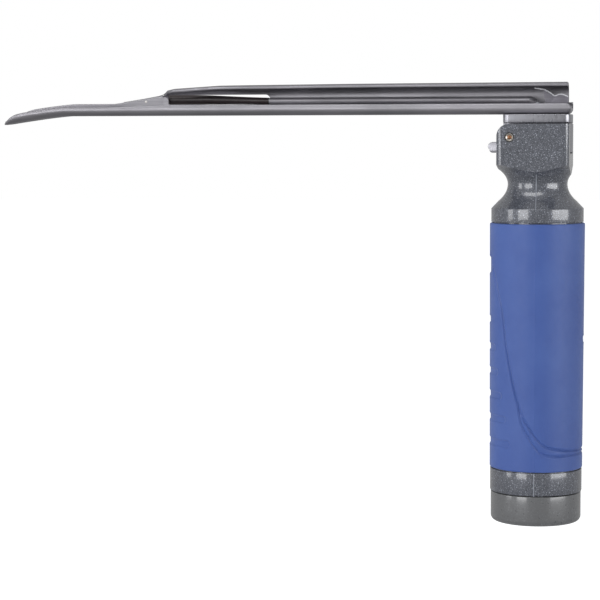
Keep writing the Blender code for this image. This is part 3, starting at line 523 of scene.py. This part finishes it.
# ---------------------------------------------------------------- handle body
PIN_X, PIN_Z = PIN_CENTRE.x, PIN_CENTRE.z
PIN_R = (high("hook_pin").x - low("hook_pin").x) / 2
EAR_TOP = BODY_HIGH.z
EAR_R = EAR_TOP - PIN_Z
COLLAR_R = BODY_HIGH.x
GAP = 0.3 * MM
CUT = 5.0 * MM
BORE_R = high("battery_upper").x + 0.4 * MM
SEAT_R = BORE_R + 1.0 * MM
NECK_R, NECK_Z = 9.85 * MM, PIN_Z - 15.5 * MM
SHOULDER_Z = NECK_Z - 8.2 * MM
WAIST_FALL = 5.6 * MM
WAIST_AXES = (18.0 * MM, 10.0 * MM)
FLARE_AXES = (11.4 * MM, 7.1 * MM)
HEAD_BOTTOM = NECK_Z + 2.3 * MM
HEAD_FRONT, HEAD_REAR = PIN_X - EAR_R, 11.0 * MM
HEAD_HALF_W = high("hook_pin").y + 0.2 * MM
HEAD_CORNER = 1.7 * MM
BLOCK_LOW, BLOCK_HIGH = low("heel_block"), high("heel_block")
SLOT_HALF_W = 6.3 * MM
SLOT_FLOOR = BLOCK_LOW.z - GAP
BEAK_REACH = PIN_X - BLOCK_LOW.x
RECESS_R, RECESS_BACK = BEAK_REACH + 1.8 * MM, 5.2 * MM
THREAD_BORE_R = BORE_R + 1.0 * MM
SPIGOT_TOP = CAP_HIGH.z


def body_profile():
    """From the head down: flare, waisted neck, shoulder, the sleeve's seat and the collar."""
    run, rise = FLARE_AXES
    profile = [(0.0, EAR_TOP), (NECK_R + run, EAR_TOP)]
    profile += [(NECK_R + run * (1 + math.cos(math.radians(a))), NECK_Z + rise * math.sin(math.radians(a)))
                for a in np.linspace(90, 180, 37)]
    ends = math.degrees(math.asin(WAIST_FALL / WAIST_AXES[1]))
    profile += [(NECK_R + WAIST_AXES[0] * (1 + math.cos(math.radians(a))),
                 NECK_Z + WAIST_AXES[1] * math.sin(math.radians(a)))
                for a in np.linspace(180, 180 + ends, 20)[1:]]
    edge = 0.45 * MM
    profile += arc((COLLAR_R - edge, SHOULDER_Z + 0.05 * MM), edge, 60, 0, 5)
    lower, upper = SLEEVE_LOW.z - GAP, SLEEVE_HIGH.z + GAP
    small = 0.2 * MM
    profile += arc((COLLAR_R - small, upper + small), small, 0, -90, 4)
    profile += [(SEAT_R, upper), (SEAT_R, lower)]
    profile += arc((COLLAR_R - small, lower - small), small, 90, 0, 4)
    profile += arc((COLLAR_R - small, BODY_LOW.z + small), small, 0, -90, 4)
    profile.append((0.0, BODY_LOW.z))
    return profile


def make_handle_body():
    """The body in one piece: tube, waisted neck and forked head with rounded edges."""
    body = turned("handle_body_moulded", body_profile(), steps=192)
    bm = bmesh.new()
    size = Vector((HEAD_REAR - HEAD_FRONT, 2 * HEAD_HALF_W, EAR_TOP - HEAD_BOTTOM + 2 * CUT))
    centre = Vector(((HEAD_REAR + HEAD_FRONT) / 2, 0.0, HEAD_BOTTOM - CUT + size.z / 2))
    bmesh.ops.create_cube(bm, size=1.0, matrix=Matrix.Translation(centre) @ Matrix.Diagonal((*size, 1.0)))
    upright = [e for e in bm.edges if abs((e.verts[0].co - e.verts[1].co).z) > MM]
    bmesh.ops.bevel(bm, geom=upright, offset=HEAD_CORNER, segments=8, affect="EDGES", profile=0.5)
    head = from_bmesh("head_form", bm)
    reach = COLLAR_R + CUT
    below = turned("below_form", [(0.0, HEAD_BOTTOM), (reach, HEAD_BOTTOM), (reach, -CUT), (0.0, -CUT)], 32)
    cut(head, below, "UNION")
    cut(body, head, "INTERSECT")

    lamp_top, disc_top = NECK_Z + 5.0 * MM, high("contact_disc").z + GAP
    lamp_r, disc_r = high("lamp_board").x + GAP, high("contact_disc").x + 2 * GAP
    bore_top = high("battery_upper").z + GAP
    cut(body, turned("bore_form", [
        (0.0, lamp_top), (lamp_r, lamp_top), (lamp_r, disc_top), (disc_r, disc_top), (disc_r, bore_top),
        (BORE_R, bore_top), (BORE_R, SPIGOT_TOP + GAP), (THREAD_BORE_R, SPIGOT_TOP + GAP),
        (THREAD_BORE_R, BODY_LOW.z - MM), (0.0, BODY_LOW.z - MM)], 128))
    cut(body, rod("nose_form", 2.6 * MM, (0, 0, lamp_top - MM), (0, 0, SLOT_FLOOR + MM)))
    wide = 4 * COLLAR_R
    cut(body, plate_xz("slot_form", [(-wide, SLOT_FLOOR), (wide, SLOT_FLOOR), (wide, EAR_TOP + CUT),
                                     (-wide, EAR_TOP + CUT)], -SLOT_HALF_W, SLOT_HALF_W))
    pin = (PIN_X, PIN_Z)
    back = math.degrees(math.acos(RECESS_BACK / RECESS_R))
    recess = arc(pin, RECESS_R, -back, -180, 40)
    recess += [(-wide, PIN_Z), (-wide, PIN_Z + MM), (PIN_X + RECESS_BACK, PIN_Z + MM)]
    swing = SLOT_HALF_W - 0.01 * MM
    cut(body, plate_xz("recess_form", recess, -swing, swing))
    corner = arc(pin, EAR_R, 180, 90, 24)
    corner += [(PIN_X, EAR_TOP + CUT), (-wide, EAR_TOP + CUT), (-wide, PIN_Z)]
    cut(body, plate_xz("ear_form", corner, -wide, wide))
    cut(body, rod("pin_hole_form", PIN_R + 0.08 * MM, (PIN_X, -wide, PIN_Z), (PIN_X, wide, PIN_Z), 48))
    soften(body, 0.3 * MM, 3, 40)
    apply_modifiers(body)
    dress(body, "graphite")
    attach(body, "handle")
    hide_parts("handle_body")


# ---------------------------------------------------------------- base cap
def make_base_cap():
    """The screw cap with a rounded foot, and the thread's ridge on its spigot."""
    rim = BODY_LOW.z - GAP
    r, fillet, small = CAP_HIGH.x, 1.8 * MM, 0.25 * MM
    floor = low("cap_contact_plate").z - GAP
    spigot_r = BORE_R + 0.6 * MM
    profile = [(0.0, floor), (BORE_R, floor), (BORE_R, CAP_HIGH.z), (spigot_r, CAP_HIGH.z), (spigot_r, rim)]
    profile += arc((r - small, rim - small), small, 90, 0, 5)
    profile += arc((r - fillet, fillet), fillet, 0, -90, 14)
    profile.append((0.0, 0.0))
    cap = turned("base_cap_smooth", profile, steps=192)
    turns, lead, per_turn = 2, 2.0 * MM, 72
    path = []
    for i in range(turns * per_turn + 1):
        a = 2 * math.pi * i / per_turn
        path.append((spigot_r * math.cos(a), spigot_r * math.sin(a), rim + MM + lead * i / per_turn))
    cut(cap, swept("thread_form", path, 0.2 * MM, 8), "UNION")
    dress(cap, "cap")
    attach(cap, "cap")
    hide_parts("base_cap")


# ---------------------------------------------------------------- blade
SHEET_T = 1.0 * MM
SHEET_Z = high("heel_block").z + GAP               # underside of the blade's sheet
BLADE_HEEL_X, BLADE_TIP_X = SHEET_HIGH.x, SHEET_LOW.x
BLADE_HALF_W = SHEET_HIGH.y
FLANGE_H, FLANGE_W = SHEET_HIGH.z - SHEET_Z, 8.2 * MM
FLANGE_ROUND, FLANGE_SAG, CURL_START_H = 3.2 * MM, 0.35 * MM, 7.0 * MM
LIP_H, LIP_TIP_H, LIP_ROUND, LIP_LEAN = 3.7 * MM, 3.0 * MM, 1.7 * MM, 0.25 * MM
LIP_RISE_X, LIP_RISE_L = BLADE_TIP_X + 33.9 * MM, 25.0 * MM
WEB_ROUND = 2.6 * MM
HEEL_ROUND, WEB_SETBACK = 1.6 * MM, 1.4 * MM
TIP_START_X, TIP_DROP, TIP_ROUND = BLADE_TIP_X + 22.9 * MM, 2.95 * MM, 9.0 * MM
WINDOW_X0 = BLADE_TIP_X + 56.4 * MM
WINDOW_X1 = WINDOW_X0 + 35.8 * MM
WINDOW_H, WINDOW_Z = 3.3 * MM, 5.5 * MM
EDGE_RISE = [(WINDOW_X0 + x * MM, h * MM) for x, h in (
    (-19.2, 4.4), (-9.2, 5.9), (-3.2, 6.9), (-1.2, 7.6), (0.3, 8.6), (2.8, 9.2), (18.8, 10.1), (65.0, 10.4))]
EDGE_RISE.append((BLADE_HEEL_X, FLANGE_H))


def edge_height(x):
    """Height of the far edge over the sheet's underside."""
    return float(np.interp(x, *zip(*EDGE_RISE)))


def tip_shape(x):
    """Drop of the sheet, plan width share and edge height share towards the tip."""
    past = max(0.0, TIP_START_X - x) / (TIP_START_X - BLADE_TIP_X)
    near_end = min(1.0, max(0.0, BLADE_TIP_X + TIP_ROUND - x) / TIP_ROUND)
    width = max(0.22, math.sqrt(max(0.0, 1 - near_end ** 2.4)))
    return TIP_DROP * past ** 1.25, width, max(0.0, 1 - near_end ** 2.2)


def channel_path(x):
    """The mid line of the sheet's section at x, from the near lip round to the flange's rim."""
    drop, width, tall = tip_shape(x)
    half, floor, least = BLADE_HALF_W - SHEET_T / 2, SHEET_T / 2, 0.05 * MM
    lip_h = LIP_TIP_H + (LIP_H - LIP_TIP_H) * smooth_step((x - LIP_RISE_X) / LIP_RISE_L)
    lip = max(floor + 7 * least * tall, (lip_h - floor) * tall)
    edge = edge_height(x)
    top = max(lip * 0.99, (edge - floor) * tall)
    curl = FLANGE_W * smooth_step((edge - CURL_START_H) / (FLANGE_H - CURL_START_H))
    near_r = min(LIP_ROUND, lip - floor + least)
    far_r = min(WEB_ROUND, top - floor + least)
    lean = LIP_LEAN * tall
    line = [(-half + lean * (1 - t), lip + (floor + near_r - lip) * t) for t in (0.0, 0.35, 0.7)]
    line += arc((-half + near_r, floor + near_r), near_r, 180, 270, 10)
    line += [(-half * s, floor) for s in (0.6, 0.35, 0.1, -0.1, -0.25)]
    line += arc((half - far_r, floor + far_r), far_r, 270, 360, 12)
    if curl > 6 * least:
        rise = min(FLANGE_ROUND, curl)
        reach = half - curl
        start = floor + far_r
        line += [(half, start + (top - rise - start) * t) for t in (0.33, 0.67, 1.0)]
        line += arc((half - rise, top - rise), rise, 0, 90, 14)[1:]
        line += [((half - rise) + (reach - half + rise) * t, top - FLANGE_SAG * t * t)
                 for t in (0.25, 0.5, 0.75, 1.0)]
    else:
        foot = line[-1]
        for i in range(1, 22):
            t = i / 21
            line.append((foot[0] - 2 * least * t, foot[1] + max(top - foot[1], least) * t))
    past = max(0.0, x - BLADE_HEEL_X + HEEL_ROUND) / HEEL_ROUND
    keep = math.sqrt(max(0.06, 1 - past ** 2))
    middle = LIP_H / 2
    return [Vector((y * width, SHEET_Z - drop + middle + (z - middle) * keep)) for y, z in line]


def blade_stations():
    """Places along the blade, heel to tip."""
    heel, window = BLADE_HEEL_X - HEEL_ROUND, WINDOW_X0 + 20 * MM
    stations = [BLADE_HEEL_X - HEEL_ROUND * (1 - math.sin(math.pi / 2 * i / 8)) for i in range(8, -1, -1)]
    stations += list(np.linspace(heel, window, 12)[1:])
    stations += list(np.linspace(window, WINDOW_X0 + 4 * MM, 8)[1:])
    stations += list(np.linspace(WINDOW_X0 + 4 * MM, WINDOW_X0 - 20 * MM, 40)[1:])
    stations += list(np.linspace(WINDOW_X0 - 20 * MM, TIP_START_X, 8)[1:])
    end = BLADE_TIP_X + TIP_ROUND
    stations += list(np.linspace(TIP_START_X, end, 14)[1:])
    return stations + [end - TIP_ROUND * math.sin(math.pi / 2 * i / 16) for i in range(1, 17)]


def make_blade():
    """The formed steel sheet with finely rounded edges, its window and its holes."""
    verts, faces = [], []
    cap_steps = 4                                   # the sheet's rims are half round
    stations = blade_stations()
    for x in stations:
        path = channel_path(x)
        last = len(path) - 1
        left, right, ends = [], [], []
        for i, p in enumerate(path):
            along = (path[min(i + 1, last)] - path[max(i - 1, 0)]).normalized()
            normal = Vector((-along.y, along.x)) * SHEET_T / 2
            left.append(p + normal)
            right.append(p - normal)
            if i in (0, last):
                sign = -1 if i == 0 else 1
                inset = SHEET_T * 0.32
                turn = []
                for k in range(1, cap_steps):
                    a = math.pi * k / cap_steps
                    turn.append(p + normal * math.cos(a) + along * sign * inset * math.sin(a))
                ends.append(turn)
        ring = left + ends[1] + right[::-1] + ends[0][::-1]
        verts += [(x, p.x, p.y) for p in ring]
    total = len(verts) // len(stations)
    for s in range(len(stations) - 1):
        for k in range(total):
            n = (k + 1) % total
            a, b = s * total, (s + 1) * total
            faces.append((a + k, a + n, b + n, b + k))
    faces.append(tuple(range(total)))
    faces.append(tuple((len(stations) - 1) * total + k for k in range(total)))
    blade = new_object("blade_channel_formed", verts, faces)

    r, z, corner = WINDOW_H / 2, SHEET_Z + WINDOW_Z, 0.4 * MM
    outline = arc((WINDOW_X0 + corner, z + r - corner), corner, 90, 180, 6)
    outline += arc((WINDOW_X0 + corner, z - r + corner), corner, 180, 270, 6)
    outline += arc((WINDOW_X1 - r, z), r, -90, 90, 24)
    cut(blade, plate_xz("window_form", outline, BLADE_HALF_W - SHEET_T - 1.2 * MM, BLADE_HALF_W + MM))
    web_end = BLADE_HEEL_X - WEB_SETBACK
    cut(blade, block("web_end_form", (web_end, -2 * BLADE_HALF_W, SHEET_Z + LIP_H + GAP),
                     (web_end + CUT, 2 * BLADE_HALF_W, SHEET_Z + FLANGE_H + MM)))
    holes = [(0.0, 1.4 * MM)]
    for node in ("heel_rivet_front", "heel_rivet_rear"):
        holes.append(((low(node).x + high(node).x) / 2, 1.35 * MM))
    for x, hole_r in holes:
        cut(blade, rod("hole_form", hole_r, (x, 0, SHEET_Z - MM), (x, 0, SHEET_Z + SHEET_T + 0.5 * MM), 32))
    soften(blade, 0.12 * MM, 2, 50)
    apply_modifiers(blade)
    dress(blade, "blade")
    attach(blade, "blade")
    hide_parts("blade_channel")
    # adds the dark line of painted shade along the flange's top
    make_flange_painted_shade(web_end - 0.3 * MM)


def make_flange_painted_shade(rear):
    """A dark line of painted shade along the flange's curled top, standing in for the shade on its rim, fading out
    down the ramp.
    """
    points = 160
    half, path = BLADE_HALF_W - SHEET_T / 2, []
    for x in np.linspace(rear, WINDOW_X0 - 16 * MM, points):
        edge = edge_height(x)
        curl = FLANGE_W * smooth_step((edge - CURL_START_H) / (FLANGE_H - CURL_START_H))
        path.append((float(x), half - min(FLANGE_ROUND, curl), SHEET_Z + edge - 0.08 * MM))
    radii = [(0.05 + 0.17 * smooth_step((points - 1 - i) / 50)) * MM for i in range(points)]
    # painted shade: a dark round bar laid on the flange's rim
    shade_line = swept("flange_top_painted_shade", path, radii, 12)
    dress(shade_line, "edge")
    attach(shade_line, "blade")


# ---------------------------------------------------------------- heel block, pin, bracket
def make_heel_block():
    """The block in the fork with its hook, and the plate that carries the sheet."""
    half = min(SLOT_HALF_W - 0.4 * MM, 5.9 * MM)
    plate_low, plate_top = EAR_TOP + GAP, SHEET_Z - 0.02 * MM
    front, rear = -(2.5 * MM - PIN_X), BLOCK_HIGH.x
    notch, beak, beak_r = PIN_R + 0.08 * MM, BLOCK_LOW.x, 1.6 * MM
    jaw = PIN_Z - notch
    outline = [(rear - 0.1 * MM, BLOCK_LOW.z), (rear - 0.1 * MM, plate_low + 0.5 * MM),
               (front, plate_low + 0.5 * MM), (front, PIN_Z + notch)]
    outline += arc((PIN_X, PIN_Z), notch, 90, -90, 24)
    outline += arc((beak + beak_r, jaw - beak_r), beak_r, 90, 180, 14)
    outline += arc((beak + beak_r, BLOCK_LOW.z + beak_r * 0.7), beak_r * 0.7, 180, 270, 10)[1:]
    heel = plate_xz("heel_block_machined", outline, -half, half)
    wide = high("heel_block").y
    bm = bmesh.new()
    size = Vector((rear - front, 2 * wide, plate_top - plate_low))
    centre = Vector(((rear + front) / 2, 0.0, (plate_top + plate_low) / 2))
    bmesh.ops.create_cube(bm, size=1.0, matrix=Matrix.Translation(centre) @ Matrix.Diagonal((*size, 1.0)))
    upright = [e for e in bm.edges if abs((e.verts[0].co - e.verts[1].co).z) > MM]
    bmesh.ops.bevel(bm, geom=upright, offset=2.0 * MM, segments=10, affect="EDGES", profile=0.5)
    cut(heel, from_bmesh("plate_form", bm), "UNION")
    for node in ("heel_rivet_front", "heel_rivet_rear"):
        x = (low(node).x + high(node).x) / 2
        cut(heel, rod("stud_hole_form", 1.35 * MM, (x, 0, plate_top - 1.6 * MM), (x, 0, plate_top + MM), 32))
    cut(heel, rod("light_hole_form", 2.0 * MM, (0, 0, BLOCK_LOW.z - MM), (0, 0, plate_top + MM), 48))
    ball = (low("detent_ball_near") + high("detent_ball_near")) / 2
    cut(heel, rod("ball_hole_form", 1.3 * MM, (ball.x, -half - MM, ball.z), (ball.x, half + MM, ball.z), 32))
    soften(heel, 0.32 * MM, 3, 45)
    apply_modifiers(heel)
    dress(heel, "block")
    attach(heel, "blade")
    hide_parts("heel_block")


def make_hook_pin():
    """The cross pin, with a bright turned rim and a darker riveted heart at each end."""
    half = high("hook_pin").y
    dish, rim, heart_r = 0.25 * MM, 0.25 * MM, PIN_R * 0.46
    side = [(0.0, half - dish), (PIN_R * 0.5, half - dish), (PIN_R * 0.72, half), (PIN_R - rim, half),
            (PIN_R, half - rim)]
    profile = side + [(r, -y) for r, y in side[::-1]]
    pin = turned("hook_pin_turned", profile, steps=64)
    dress(pin, "pin_rim")
    hearts = []
    for name, sign in (("pin_heart_near", -1), ("pin_heart_far", 1)):
        dome = [(heart_r * math.cos(math.radians(a)), half - dish + dish * 0.9 * math.sin(math.radians(a)))
                for a in (60, 30, 0)]
        dome = [(0.0, half - dish * 0.1)] + dome + [(heart_r, half - 2 * dish), (0.0, half - 2 * dish)]
        heart = turned(name, [(r, sign * z) for r, z in dome], steps=48)
        dress(heart, "pin_heart")
        hearts.append(heart)
    turn = Matrix.Translation((PIN_X, 0.0, PIN_Z)) @ Matrix.Rotation(math.radians(-90), 4, "X")
    for obj in [pin] + hearts:
        obj.data.transform(turn)
        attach(obj, "pin")
    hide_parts("hook_pin")


def make_heel_bracket():
    """The stepped tang inside the heel, in a darker steel of painted shade, with a near-white bead of painted
    highlight along its stepped edge.
    """
    lo, hi = low("heel_bracket"), high("heel_bracket")
    steps = ((-1.4, 8.7), (0.6, 8.4), (2.0, 8.1), (3.6, 7.2), (5.0, 6.25), (5.7, 6.2), (6.5, 6.55),
             (8.0, 6.5), (9.7, 5.8))
    line = smooth_line([(x * MM, SHEET_Z + h * MM) for x, h in steps], 8)
    line = [(float(x), float(z)) for x, z in line if x < hi.x]
    outline = [(hi.x, lo.z), (lo.x + 1.6 * MM, lo.z)] + [(x, z) for x, z in line if x > lo.x]
    tang = plate_xz("heel_bracket_formed", outline, lo.y, hi.y)
    soften(tang, 0.12 * MM, 2, 45)
    apply_modifiers(tang)
    # darker steel of painted shade
    dress(tang, "bracket")
    # painted highlight: a near-white round bar along the stepped edge
    highlight_y = lo.y + 0.1 * MM
    bead = swept("heel_bracket_painted_highlight", [(x, highlight_y, z) for x, z in line], 0.22 * MM, 16)
    dress(bead, "bead")
    for obj in (tang, bead):
        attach(obj, "blade")
    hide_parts("heel_bracket")


# ---------------------------------------------------------------- light guide
GUIDE_Y = (low("light_guide_sheath").y + high("light_guide_sheath").y) / 2
GUIDE_Z = (low("light_guide_sheath").z + high("light_guide_sheath").z) / 2
SHEATH_R = (high("light_guide_sheath").z - low("light_guide_sheath").z) / 2


def make_light_guide():
    """The fibre bundle in its steel sheath, the jacket that crosses through the window, and the exit lens."""
    far_y = BLADE_HALF_W + 1.9 * MM
    exit_x = WINDOW_X0 - 7.6 * MM
    core_r, jacket_r, nose_r = 0.8 * MM, 1.72 * MM, 1.4 * MM
    lens_height = 4.9 * MM
    rise = SHEET_Z + WINDOW_Z - GUIDE_Z
    bend, steps = 3.4 * MM, 18
    turn_points = []
    for i in range(steps + 1):
        a = math.pi / 2 * i / steps
        turn_points.append((-bend * (1 - math.sin(a)), GUIDE_Y * (1 - smooth_step(i / steps)),
                            GUIDE_Z - bend * (1 - math.cos(a))))
    crossing = []
    for t in np.linspace(0, 1, 24):
        x = WINDOW_X1 + (WINDOW_X0 - WINDOW_X1) * t
        s = smooth_step(t * 1.15)
        crossing.append((x, GUIDE_Y + (far_y - GUIDE_Y) * s, GUIDE_Z + rise * min(1.0, 1.6 * t)))
    tail = [(exit_x, far_y, crossing[-1][2])]
    inlet = [(0.0, 0.0, SHEET_Z + 0.1 * MM)]
    core = swept("light_guide_bundle", tail + crossing[::-1] + turn_points + inlet, core_r, 24)
    dress(core, "fibre")
    straight = [(WINDOW_X1 + 0.3 * MM, GUIDE_Y, GUIDE_Z), (-20 * MM, GUIDE_Y, GUIDE_Z)]
    shell = swept("light_guide_sheath_formed", straight + turn_points[:steps - 5], SHEATH_R, 32)
    dress(shell, "blade")
    radii = [SHEATH_R + (jacket_r - SHEATH_R) * smooth_step(t * 1.1) for t in np.linspace(0, 1, 24)]
    nose = [((WINDOW_X0 + exit_x) / 2, far_y, crossing[-1][2])]
    jacket = swept("light_guide_jacket_tapered", crossing + nose, radii + [nose_r], 32)
    dress(jacket, "jacket")
    lens = turned("exit_lens_polished", [(0.0, 0.4 * MM), (0.25 * MM, 0.32 * MM), (0.42 * MM, 0.1 * MM),
                                         (0.48 * MM, -0.5 * MM), (0.0, -0.5 * MM)], steps=40)
    place = Matrix.Translation((exit_x - 0.4 * MM, BLADE_HALF_W - SHEET_T, SHEET_Z + lens_height))
    lens.data.transform(place @ Matrix.Rotation(math.radians(90), 4, "X"))
    # painted glint on the exit lens
    dress(lens, "lens")
    for obj, node, slot in (
            (core, "light_guide", "fibre_glass"), (shell, "light_guide_sheath", "satin_steel"),
            (jacket, "light_guide_jacket", "guide_jacket"), (lens, "exit_lens", "fibre_glass")):
        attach(obj, "blade")
        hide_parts(node)


def make_parting_line():
    """The mould's fine parting line down the near side of the neck, shoulder and collar, in a paler graphite that
    paints the highlight along its ridge.
    """
    angle = math.radians(-88.0)
    outside = [(r, z) for r, z in body_profile() if r > 5 * MM and z < HEAD_BOTTOM + 1.2 * MM]
    above = [(r, z) for r, z in outside if z > SLEEVE_HIGH.z + 0.5 * MM]
    below = [(r, z) for r, z in outside if z < SLEEVE_LOW.z - 0.35 * MM]
    for name, line in (("parting_line_neck", above), ("parting_line_collar", below)):
        path = [(r * math.cos(angle), r * math.sin(angle), z) for r, z in line]
        bead = swept(name, path, 0.18 * MM, 10)
        # paler graphite of painted highlight
        dress(bead, "seam")
        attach(bead, "handle")


make_grip_sleeve()
make_handle_body()
make_parting_line()
make_base_cap()
make_blade()
make_heel_block()
make_hook_pin()
make_heel_bracket()
make_light_guide()


# ---------------------------------------------------------------- materials on the kept CAD nodes
NODE_FINISH = {
    "battery_lower": "wrap", "battery_upper": "wrap", "battery_lower_terminal": "bright",
    "battery_upper_terminal": "bright", "return_strip": "brass", "lamp_plunger": "brass", "lamp": "lamp",
    "lamp_board": "board", "lamp_spring": "bright", "lamp_bush": "bright", "contact_disc": "brass",
    "cap_contact_plate": "brass", "battery_spring": "bright", "cap_seal": "rubber",
    "detent_ball_near": "bright", "detent_ball_far": "bright", "detent_spring": "bright", "heel_rivet_front": "bright",
    "heel_rivet_rear": "bright", "light_inlet": "fibre",
}
for node, key in NODE_FINISH.items():
    dress(NODES[node], key)
soften(NODES["lamp_plunger"], 0.2 * MM)


# ---------------------------------------------------------------- studio
def area_light(name, place, target, size, power, glossy_only=False, matt_only=False):
    """A soft box. Some only show as reflections in glossy surfaces, and some only light matt ones."""
    data = bpy.data.lights.new(name, "AREA")
    data.shape = "RECTANGLE"
    data.size, data.size_y = size
    data.energy = power
    obj = bpy.data.objects.new(name, data)
    bpy.context.scene.collection.objects.link(obj)
    obj.location = place
    obj.rotation_euler = (Vector(target) - Vector(place)).to_track_quat("-Z", "Y").to_euler()
    obj.visible_diffuse = not glossy_only
    obj.visible_glossy = not matt_only


CAMERA_AZ, CAMERA_EL, CAMERA_ROLL = 10.84, 4.56, -0.14
CAMERA_DISTANCE = 0.714
CAMERA_TARGET = Vector((-0.0803, 0.0, 0.0728))
CAMERA_LENS = 125.93


def around(azimuth, elevation, distance, centre=CAMERA_TARGET):
    """A point round the object: azimuth 0 is at -Y and 90 at +X."""
    a, e = math.radians(azimuth), math.radians(elevation)
    return centre + Vector((math.sin(a) * math.cos(e), -math.cos(a) * math.cos(e), math.sin(e))) * distance


def make_camera():
    data = bpy.data.cameras.new("camera")
    data.lens = CAMERA_LENS
    data.sensor_width = 36.0
    data.clip_start, data.clip_end = 0.01, 50.0
    obj = bpy.data.objects.new("camera", data)
    bpy.context.scene.collection.objects.link(obj)
    obj.location = around(CAMERA_AZ, CAMERA_EL, CAMERA_DISTANCE)
    aim = (CAMERA_TARGET - obj.location).to_track_quat("-Z", "Y")
    obj.rotation_mode = "QUATERNION"
    obj.rotation_quaternion = aim @ Matrix.Rotation(math.radians(CAMERA_ROLL), 4, "Z").to_quaternion()
    bpy.context.scene.camera = obj


def make_world():
    """White behind the object, soft even light on matt surfaces, and a dimmer surround for glossy ones."""
    world = bpy.data.worlds.new("studio")
    world.use_nodes = True
    tree = world.node_tree
    even = tree.nodes["Background"]
    even.inputs["Color"].default_value = (0.96, 0.98, 1.0, 1.0)
    even.inputs["Strength"].default_value = AMBIENT
    white = tree.nodes.new("ShaderNodeBackground")
    white.inputs["Strength"].default_value = 1.0
    white.inputs["Color"].default_value = (1.0, 1.0, 1.0, 1.0)
    where = tree.nodes.new("ShaderNodeTexCoord")
    split = tree.nodes.new("ShaderNodeSeparateXYZ")
    shade = tree.nodes.new("ShaderNodeValToRGB")
    lift = tree.nodes.new("ShaderNodeMapRange")
    lift.inputs["From Min"].default_value = -1.0
    tree.links.new(where.outputs["Generated"], split.inputs["Vector"])
    tree.links.new(split.outputs["Z"], lift.inputs["Value"])
    tree.links.new(lift.outputs["Result"], shade.inputs["Fac"])
    for place, value in ((0.0, 0.24), (1.0, 0.5)):
        shade.color_ramp.elements[int(place)].color = grey(value)
    for place, value in ((0.3, 0.3), (0.45, 0.42), (0.55, 0.42), (0.7, 0.36)):
        shade.color_ramp.elements.new(place).color = grey(value)
    gloss = tree.nodes.new("ShaderNodeBackground")
    tree.links.new(shade.outputs["Color"], gloss.inputs["Color"])
    path = tree.nodes.new("ShaderNodeLightPath")
    for_gloss = tree.nodes.new("ShaderNodeMixShader")
    for_camera = tree.nodes.new("ShaderNodeMixShader")
    tree.links.new(path.outputs["Is Glossy Ray"], for_gloss.inputs["Fac"])
    tree.links.new(even.outputs["Background"], for_gloss.inputs[1])
    tree.links.new(gloss.outputs["Background"], for_gloss.inputs[2])
    tree.links.new(path.outputs["Is Camera Ray"], for_camera.inputs["Fac"])
    tree.links.new(for_gloss.outputs["Shader"], for_camera.inputs[1])
    tree.links.new(white.outputs["Background"], for_camera.inputs[2])
    tree.links.new(for_camera.outputs["Shader"], tree.nodes["World Output"].inputs["Surface"])
    bpy.context.scene.world = world
    bpy.context.scene.view_settings.view_transform = "Standard"


def make_floor():
    """A plain pale floor, low enough for the blade to fold down beside the handle."""
    level = -0.09
    side = 6.0
    floor = block("studio_floor", (-side, -side, level - 0.01), (side, side, level))
    m = Mat("floor_paper", grey(0.95), 0.9)
    m.put("Specular IOR Level", 0.0)
    m.link(m.ramp(m.noise(3, 2.0), [(0.3, grey(0.94)), (0.7, grey(0.96))]), m.shader.inputs["Base Color"])
    m.put("Emission Color", grey(1.0))
    m.put("Emission Strength", 0.42)
    floor.data.materials.append(m.mat)
    floor.visible_glossy = False


AMBIENT = 0.68
HANDLE_MIDDLE = Vector((0.0, 0.0, (CAP_LOW.z + BODY_HIGH.z) / 2))
WINDOW_TALL = 0.5
# name, azimuth, width, brightness of the soft windows mirrored in the handle
WINDOWS = (("window_right", 64, 0.74, 3.2), ("window_left", -31, 0.42, 3.2), ("window_side", -66, 0.22, 2.6))
make_camera()
make_world()
make_floor()
for name, azimuth, width, radiance in WINDOWS:
    place = around(azimuth, 9, 0.9, HANDLE_MIDDLE)
    power = radiance * width * WINDOW_TALL * math.pi
    area_light(name, place, HANDLE_MIDDLE, (width, WINDOW_TALL), power, glossy_only=True)
area_light("window_top", around(-11, 60, 1.0), CAMERA_TARGET, (0.9, 0.3), 2.4, glossy_only=True)
area_light("key", around(-38, 32, 1.1), CAMERA_TARGET, (0.9, 0.9), 5.4, matt_only=True)
area_light("fill", around(75, 20, 1.1), CAMERA_TARGET, (0.9, 0.9), 0.8, matt_only=True)
